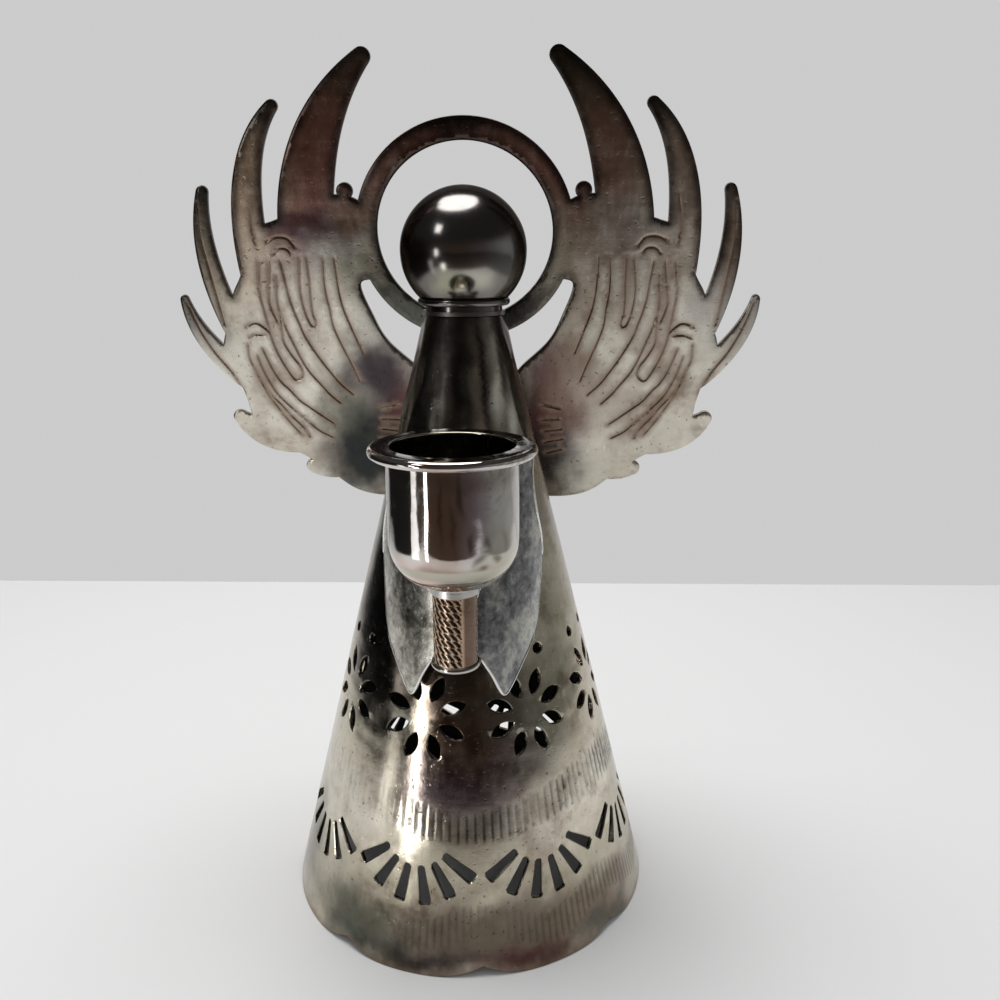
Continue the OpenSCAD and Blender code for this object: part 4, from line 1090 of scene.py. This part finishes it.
class Finish(Nodes):
    """A material with one surface shader."""

    def __init__(self, name):
        self.material = bpy.data.materials.new(name)
        super().__init__(self.material)
        self.shader = self.node("ShaderNodeBsdfPrincipled", {}, {})
        out = self.node("ShaderNodeOutputMaterial", {}, {})
        self.tree.links.new(self.shader.outputs[0], out.inputs["Surface"])
        self.place = self.source("ShaderNodeTexCoord", "Object", vector=True)

    def noise(self, scale, detail=4.0, rough=0.55, twist=0.0, place=None, stretch=None):
        """Cloudy noise between 0 and 1, drawn out along the axes where stretch is given."""
        place = place or self.place
        if stretch:
            place = Field(self, self.node("ShaderNodeMapping", {}, {
                "Vector": place, "Scale": stretch}).outputs[0], True)
        node = self.node("ShaderNodeTexNoise", {}, {
            "Vector": place, "Scale": scale, "Detail": detail, "Roughness": rough,
            "Distortion": twist})
        return Field(self, node.outputs[0])

    def bump(self, height, depth, strength=1.0):
        """The surface's slant from a height between 0 and 1, whose full step is depth metres."""
        node = self.node("ShaderNodeBump", {}, {
            "Strength": strength, "Distance": depth, "Height": height})
        return Field(self, node.outputs["Normal"], True)

    def kept_tone(self):
        """The tarnish and painted light kept on the piece's points."""
        return self.source("ShaderNodeAttribute", "Color", {"attribute_name": "tarnish"}, True)

    def surface(self, colour, rough, metal, normal=None, **fixed):
        """Sets the shader's sockets: a field is linked, a number is set."""
        sockets = {"Base Color": colour, "Roughness": rough, "Metallic": metal, "Normal": normal}
        for key, value in sockets.items():
            if isinstance(value, Field):
                self.tree.links.new(value.socket, self.shader.inputs[key])
            elif value is not None:
                self.shader.inputs[key].default_value = value
        for key, value in fixed.items():
            self.shader.inputs[key.replace("_", " ")].default_value = value
        return self.material


def plate_finish(name, tones, rough, patch=55.0, shift=0.0):
    """Tarnished silver plate: a ground with darker clouds, fine scratches both ways, small
    pits, and a roughness that follows the clouds. Tones are dark, middle and light, or none
    where the piece's points keep their own. Patch is the scale of the clouds, and the shift
    gives each piece other ones."""
    f = Finish(name)
    place = f.place + (shift, 0.3 * shift, -shift)
    cloud = f.noise(patch, 5.0, 0.6, 0.4, place)
    small = f.noise(patch * 5, 4.0, 0.6, 0.2, place)
    scratch = f.noise(900.0, 2.0, 0.5, 0.0, place, (1.0, 1.0, 0.04))
    cross = f.noise(700.0, 2.0, 0.5, 0.0, place, (0.05, 0.05, 1.0))
    tone = cloud * 0.6 + small * 0.4
    if tones:
        dark, mid, light = tones
        colour = f.ramp(tone, (0.36, dark), (0.48, mid), (0.60, light), (0.75, mid))
    else:
        kept = f.kept_tone()
        shade = f.ramp(tone, (0.36, (0.55, 0.50, 0.46)), (0.47, (0.92, 0.90, 0.86)),
                       (0.60, (1.12, 1.12, 1.10)), (0.75, (0.80, 0.84, 0.78)))
        colour = kept * shade
    fine = scratch * 0.6 + cross * 0.4
    colour = f.mix(fine.steps(0.60, 0.78) * 0.6, colour, colour * 1.7)
    pit = f.noise(patch * 22, 2.0, 0.5, 0.0, place)
    colour = f.mix(pit.steps(0.66, 0.74) * 0.5, colour, BLACK)
    roughness = rough + (tone - 0.5) * 0.40 + (fine - 0.5) * 0.25
    height = fine * 0.30 + small * 0.50 - pit.steps(0.64, 0.76) * 0.4
    return f.surface(colour, roughness.highest(0.10), 1.0, f.bump(height, 0.00006))


def polished_finish(name, colour, dull, rough, wear=0.3, tint=1.0):
    """Polished plate: nearly even, with faint clouds of tarnish, hair-fine wiping marks,
    specks where it is worn, and an edge colour that is darker where the tint is low. The
    colour is none where the piece's points keep their own."""
    f = Finish(name)
    cloud = f.noise(60.0, 4.0, 0.6, 0.3)
    wipe = f.noise(420.0, 2.0, 0.5, 0.0, None, (1.0, 1.0, 0.08))
    speck = f.noise(700.0, 3.0, 0.6, 0.6)
    worn = cloud.steps(0.46, 0.66) * speck.steps(0.50, 0.60)
    if colour:
        tone = f.mix(cloud.steps(0.42, 0.7), colour, dull)
    else:
        tone = f.kept_tone() * f.ramp(cloud, (0.40, (1.0, 1.0, 1.0)),
                                      (0.70, (0.75, 0.72, 0.70)))
    tone = f.mix(worn * wear, tone, tuple(0.35 * c for c in dull))
    roughness = rough + (cloud - 0.45) * 0.12 + (wipe - 0.5) * 0.05 + worn * (0.3 * wear)
    height = wipe * 0.4 + speck * (0.6 * wear)
    return f.surface(tone, roughness.highest(0.03), 1.0, f.bump(height, 0.00003, 0.6),
                     Specular_Tint=(tint, tint, tint, 1.0))


def turned_finish(name, colour, rough):
    """Turned or pressed metal: fine rings about the upright axis and a little tarnish."""
    f = Finish(name)
    ring = f.noise(1400.0, 2.0, 0.5, 0.0, None, (0.03, 0.03, 1.0))
    cloud = f.noise(120.0, 4.0, 0.6)
    tone = f.mix(cloud.steps(0.4, 0.75), colour, tuple(0.6 * c for c in colour))
    return f.surface(tone, rough + (ring - 0.5) * 0.2, 1.0, f.bump(ring, 0.00003, 0.6))


# Settings, operators and panel

def measure(name, what, default, high, low=0.0):
    """A length in millimetres that a user may change."""
    return bpy.props.FloatProperty(name=name, description=what + " in millimetres",
                                   default=default, min=low, max=high)


def paint(name, what, default):
    """A colour that a user may change."""
    return bpy.props.FloatVectorProperty(name=name, description="Colour of " + what, size=3,
                                         subtype="COLOR", default=default, min=0.0, max=1.0)


class HolderSettings(bpy.types.PropertyGroup):
    skirt_mesh: measure("Skirt mesh", "Spacing of the skirt's mesh", 0.95, 3.0, 0.5)
    wing_mesh: measure("Wing mesh", "Spacing of the wing plate's mesh", 0.85, 3.0, 0.5)
    stroke_depth: measure("Stroke depth", "Depth of the stamped strokes", 0.12, 0.5)
    groove_depth: measure("Groove depth", "Depth of the engraved lines", GROOVE_D, 0.5)
    groove_width: measure("Groove width", "Width of the engraved lines", GROOVE_W, 1.5, 0.3)
    relief: measure("Relief", "Height of the sheets' soft unevenness", 0.05, 0.3)
    flower_relief: measure("Flower dents", "Height of the dents at the flowers", 0.035, 0.2)
    neck_relief: measure("Neck flutes", "Height of the flutes of the skirt's neck", 0.13, 0.2)
    ball_relief: measure("Ball waves", "Height of the ball's soft waves", 0.035, 0.1)
    cup_relief: measure("Cup dents", "Height of the cup's flutes and dents", 0.03, 0.1)
    # The dark default is partly the ball's tarnish and partly painted dark reflection of the room
    ball_colour: paint("Ball", "the polished ball", (0.20, 0.19, 0.18))
    cup_colour: paint("Cup", "the bright cup", (0.80, 0.78, 0.75))


class StageSettings(bpy.types.PropertyGroup):
    floor_colour: paint("Floor", "the floor", (0.78, 0.78, 0.78))
    wall_colour: paint("Wall", "the wall behind the floor", (0.60, 0.60, 0.60))
    top_power: bpy.props.FloatProperty(
        name="Overhead lamp", description="Power of the lamp above", default=3.8, min=0.0,
        max=50.0, subtype="POWER", unit="POWER")
    camera_roll: bpy.props.FloatProperty(
        name="Camera roll", description="Turn of the camera about its view",
        default=math.radians(-0.19), min=-0.1, max=0.1, subtype="ANGLE", unit="ROTATION")


def give(name, material):
    """The finish of a node that keeps its shape."""
    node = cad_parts[name]
    node.data.materials.clear()
    node.data.materials.append(material)


class ANGEL_OT_skirt(bpy.types.Operator):
    """Builds the pierced and stamped skirt"""
    bl_idname = "angel.skirt"
    bl_label = "Skirt"

    def execute(self, context):
        points, tris, side, tone = skirt_surface(context.scene.angel_holder)
        # The inside is near black: partly the dark oxide of the sheet's back, partly painted
        # shade, so the slots show dark
        make_mesh("skirt_sheet", points, tris, "holder", ["skirt"], [
            plate_finish("Skirt plate", None, 0.20),
            plate_finish("Skirt inside, oxide and painted shade", (
                (0.01, 0.01, 0.01), (0.02, 0.018, 0.016), (0.04, 0.035, 0.03)), 0.5)],
            side, tone)
        return {"FINISHED"}


class ANGEL_OT_wings(bpy.types.Operator):
    """Builds the engraved wing and halo plate, and finishes its rivets"""
    bl_idname = "angel.wings"
    bl_label = "Wings and halo"

    def execute(self, context):
        points, tris, _, tone = wing_surface(context.scene.angel_holder)
        make_mesh("wing_sheet", points, tris, "holder", ["wing_halo_plate"],
                  [plate_finish("Wing plate", None, 0.24, 48.0, 0.7)], tone=tone)
        give("wing_rivets", turned_finish("Rivet metal", (0.60, 0.58, 0.54), 0.30))
        return {"FINISHED"}


class ANGEL_OT_head(bpy.types.Operator):
    """Builds the ball, and finishes its collar and what fixes them"""
    bl_idname = "angel.head"
    bl_label = "Head"

    def execute(self, context):
        points, tris, tone = ball_surface(context.scene.angel_holder)
        make_mesh("ball_spun", points, tris, "holder", ["head_ball"],
                  [polished_finish("Polished ball", None, (0.11, 0.10, 0.10), 0.17, 0.25, 0.25)],
                  tone=tone)
        give("neck_collar", polished_finish(
            "Polished collar", (0.20, 0.19, 0.18), (0.10, 0.09, 0.09), 0.16, 0.3, 0.5))
        give("neck_cap", turned_finish("Neck metal", (0.26, 0.24, 0.23), 0.32))
        give("head_bush", turned_finish("Bush brass", (0.72, 0.58, 0.32), 0.30))
        steel = turned_finish("Fastener steel", (0.55, 0.55, 0.55), 0.30)
        for name in ("head_stud", "head_washer", "head_lock_washer", "head_nut", "cup_washer",
                     "cup_screw"):
            give(name, steel)
        return {"FINISHED"}


class ANGEL_OT_sleeves(bpy.types.Operator):
    """Builds the rims of the two sleeves, and finishes the sleeves and their solder"""
    bl_idname = "angel.sleeves"
    bl_label = "Sleeves"

    def execute(self, context):
        # Both sleeves are one metal: the left one's lighter tones are painted light and the right
        # one's darker tones painted shade
        give("left_sleeve", plate_finish(
            "Left sleeve plate, painted light", ((0.12, 0.115, 0.09), (0.44, 0.42, 0.36), (0.84, 0.82, 0.74)),
            0.24, 120.0, 1.9))
        give("right_sleeve", plate_finish(
            "Right sleeve plate, painted shade", ((0.08, 0.08, 0.075), (0.26, 0.26, 0.275), (0.52, 0.52, 0.47)),
            0.24, 120.0, 2.6))
        give("sleeve_solder", turned_finish("Solder", (0.66, 0.66, 0.64), 0.34))
        for side, word in ((-1, "left"), (1, "right")):
            points, tris = joined([carried(path, 0.3) for path in sleeve_rim(side)])
            make_mesh(word + "_sleeve_rim", points, tris, "holder", [], [
                polished_finish(word.capitalize() + " rim", (0.90, 0.89, 0.85),
                                (0.7, 0.68, 0.62), 0.26, 0.3)])
        return {"FINISHED"}


class ANGEL_OT_cup(bpy.types.Operator):
    """Builds the candle cup and the socket tube, and finishes the peg and the bead"""
    bl_idname = "angel.cup"
    bl_label = "Cup and socket"

    def execute(self, context):
        points, tris, tone = cup_surface(context.scene.angel_holder)
        make_mesh("cup_drawn", points, tris, "cup", ["candle_cup"],
                  [polished_finish("Polished cup", None, (0.60, 0.57, 0.53), 0.06, 0.7)],
                  tone=tone)
        points, tris, tone = tube_surface()
        make_mesh("tube_scaled", points, tris, "holder", ["socket_tube"],
                  [plate_finish("Tube metal", None, 0.24, 120.0, 3.1)], tone=tone)
        give("cup_peg", turned_finish("Peg metal", (0.55, 0.54, 0.52), 0.3))
        give("socket_end_cap", polished_finish(
            "Polished bead", (0.62, 0.60, 0.56), (0.4, 0.36, 0.32), 0.14))
        return {"FINISHED"}


# Corners of the floor in metres, whose rear edge is the line where the wall begins
FLOOR = ((-3, -3, 0), (3, -3, 0), (3, 0.237, 0), (-3, 0.136, 0))
# The table as the metal shows it: its front edge along Y and its side edges along X, each
# with the two places between which it ends
TABLE_FRONT, TABLE_SIDE = (-0.255, -0.215), (0.215, 0.265)
# Place of the camera in metres, its tilt from straight down and its turn in degrees, and its
# lens and sensor in millimetres
CAMERA_AT, CAMERA_TILT, CAMERA_TURN = (0.0150, -0.1947, 0.1416), 74.7, 2.29
LENS, SENSOR = 33.7, 36.0
# Lamps that show only as reflections in the metal: name, place, target, width and height in
# metres, power in watts, and the angle that it shines into in degrees
GLOWS = (
    ("glow_spot", (-0.294, -0.276, 0.436), (0, 0, 0.14), 0.10, 0.10, 0.16, 180),
    ("glow_pane", (-0.207, -0.217, 0.126), (0, 0, 0.14), 0.035, 0.06, 0.03, 180),
    ("glow_low_left", (-0.09, -0.132, 0.045), (0, 0, 0.045), 0.018, 0.075, 0.008, 62),
    ("glow_low_side", (-0.178, -0.12, 0.045), (0, 0, 0.045), 0.034, 0.09, 0.003, 75),
)
# Colours of the room from behind over the left, the front and the right to behind again, by
# the share of the turn: the wall is at both ends
ROOM = (
    (0.09, (0.30, 0.30, 0.31)), (0.125, (0.015, 0.015, 0.015)), (0.30, (0.015, 0.013, 0.012)),
    (0.40, (0.09, 0.065, 0.05)), (0.53, (0.10, 0.072, 0.055)), (0.60, (0.15, 0.12, 0.12)),
    (0.70, (0.31, 0.31, 0.30)), (0.88, (0.44, 0.44, 0.43)),
)
# The ceiling as the metal shows it, and the even light on what is matt
CEILING, EVEN = (0.045, 0.042, 0.04), (0.42, 0.42, 0.42)


class ANGEL_OT_stage(bpy.types.Operator):
    """Makes the floor, the background, the lamps and the camera"""
    bl_idname = "angel.stage"
    bl_label = "Stage"

    def execute(self, context):
        settings = context.scene.angel_stage
        mesh = bpy.data.meshes.new("floor")
        mesh.from_pydata(FLOOR, [], [(0, 1, 2, 3)])
        floor = bpy.data.objects.new("floor", mesh)
        context.collection.objects.link(floor)
        f = Finish("Floor")
        pale = tuple(settings.floor_colour)
        cover = f.mix(f.noise(3.0, 3.0) * 0.25, pale, tuple(0.95 * c for c in pale))
        x, y = f.place.axis("X"), f.place.axis("Y")
        table = y.steps(*TABLE_FRONT) * (1 - x.size().steps(*TABLE_SIDE))
        glossy = f.source("ShaderNodeLightPath", "Is Glossy Ray")
        mesh.materials.append(f.surface(
            f.mix(glossy * (1 - table), cover, self.round_room(f, f.place, pale)), 0.7, 0.0,
            Specular_IOR_Level=0.1))
        self.room(context, tuple(settings.wall_colour))
        self.lamp("lamp_above", (-0.07, 0.06, 0.72), (0, 0, 0.05), 0.52, 0.50,
                  settings.top_power, 180, True)
        for glow in GLOWS:
            self.lamp(*glow)
        camera = bpy.data.objects.new("camera", bpy.data.cameras.new("camera"))
        camera.data.lens, camera.data.sensor_width = LENS, SENSOR
        camera.data.clip_start = 0.01
        camera.location = CAMERA_AT
        aim = Euler((math.radians(CAMERA_TILT), 0.0, math.radians(CAMERA_TURN))).to_quaternion()
        roll = Quaternion((0, 0, 1), settings.camera_roll)
        camera.rotation_euler = (aim @ roll).to_euler()
        context.collection.objects.link(camera)
        context.scene.camera = camera
        context.scene.view_settings.view_transform = "Standard"
        return {"FINISHED"}

    def room(self, context, pale):
        """The room round the stage: pale behind the object, darker in front, black on the left
        and grey on the right, with a dim ceiling. The camera sees only the pale wall, and what
        is matt is lit by an even grey."""
        world = bpy.data.worlds.new("Room")
        context.scene.world = world
        f = Nodes(world)
        way = f.source("ShaderNodeTexCoord", "Generated", vector=True)
        around = self.round_room(f, way, pale)
        ceiling = f.mix(way.axis("Z").steps(0.12, 0.40), around, CEILING)
        colour = f.mix(way.axis("Y").steps(0.60, 0.85), ceiling, pale)
        colour = f.mix(f.source("ShaderNodeLightPath", "Is Diffuse Ray"), colour, EVEN)
        colour = f.mix(f.source("ShaderNodeLightPath", "Is Camera Ray"), colour, pale)
        back = f.node("ShaderNodeBackground", {}, {"Color": colour, "Strength": 1.0})
        out = f.node("ShaderNodeOutputWorld", {}, {})
        f.tree.links.new(back.outputs[0], out.inputs["Surface"])

    def round_room(self, f, way, pale):
        """Colour of the room by the turn about the upright axis."""
        turn = Field(f, f.node("ShaderNodeMath", {"operation": "ARCTAN2"}, [
            way.axis("X"), 0 - way.axis("Y")]).outputs[0])
        return f.ramp(turn / (2 * math.pi) + 0.5, (0.00, pale), *ROOM, (1.00, pale))

    def lamp(self, name, place, target, width, height, power, spread, soft=False):
        """A lamp that faces the target. A soft one is an ellipse and lights all, the others
        are panes that throw no light on the floor."""
        light = bpy.data.lights.new(name, "AREA")
        light.shape = "ELLIPSE" if soft else "RECTANGLE"
        light.size, light.size_y, light.energy = width, height, power
        light.spread = math.radians(spread)
        lamp = bpy.data.objects.new(name, light)
        lamp.location = place
        lamp.rotation_euler = (Vector(place) - Vector(target)).to_track_quat("Z", "Y").to_euler()
        bpy.context.collection.objects.link(lamp)
        lamp.visible_camera = False
        lamp.visible_diffuse = soft


STEPS = ("skirt", "wings", "head", "sleeves", "cup", "stage")


class ANGEL_PT_panel(bpy.types.Panel):
    bl_idname = "ANGEL_PT_panel"
    bl_label = "Angel candle holder"
    bl_space_type = "VIEW_3D"
    bl_region_type = "UI"
    bl_category = "Angel"

    def draw(self, context):
        for group in (context.scene.angel_holder, context.scene.angel_stage):
            column = self.layout.column()
            for name in group.bl_rna.properties.keys():
                if name not in ("rna_type", "name"):
                    column.prop(group, name)
        for name in STEPS:
            self.layout.operator("angel." + name)


CLASSES = (HolderSettings, StageSettings, ANGEL_OT_skirt, ANGEL_OT_wings, ANGEL_OT_head,
           ANGEL_OT_sleeves, ANGEL_OT_cup, ANGEL_OT_stage, ANGEL_PT_panel)


def register():
    for cls in CLASSES:
        bpy.utils.register_class(cls)
    bpy.types.Scene.angel_holder = bpy.props.PointerProperty(type=HolderSettings)
    bpy.types.Scene.angel_stage = bpy.props.PointerProperty(type=StageSettings)


def unregister():
    del bpy.types.Scene.angel_holder
    del bpy.types.Scene.angel_stage
    for cls in reversed(CLASSES):
        bpy.utils.unregister_class(cls)


def main():
    """Builds every piece in order."""
    register()
    for name in STEPS:
        getattr(bpy.ops.angel, name)()


if __name__ == "__main__":
    main()
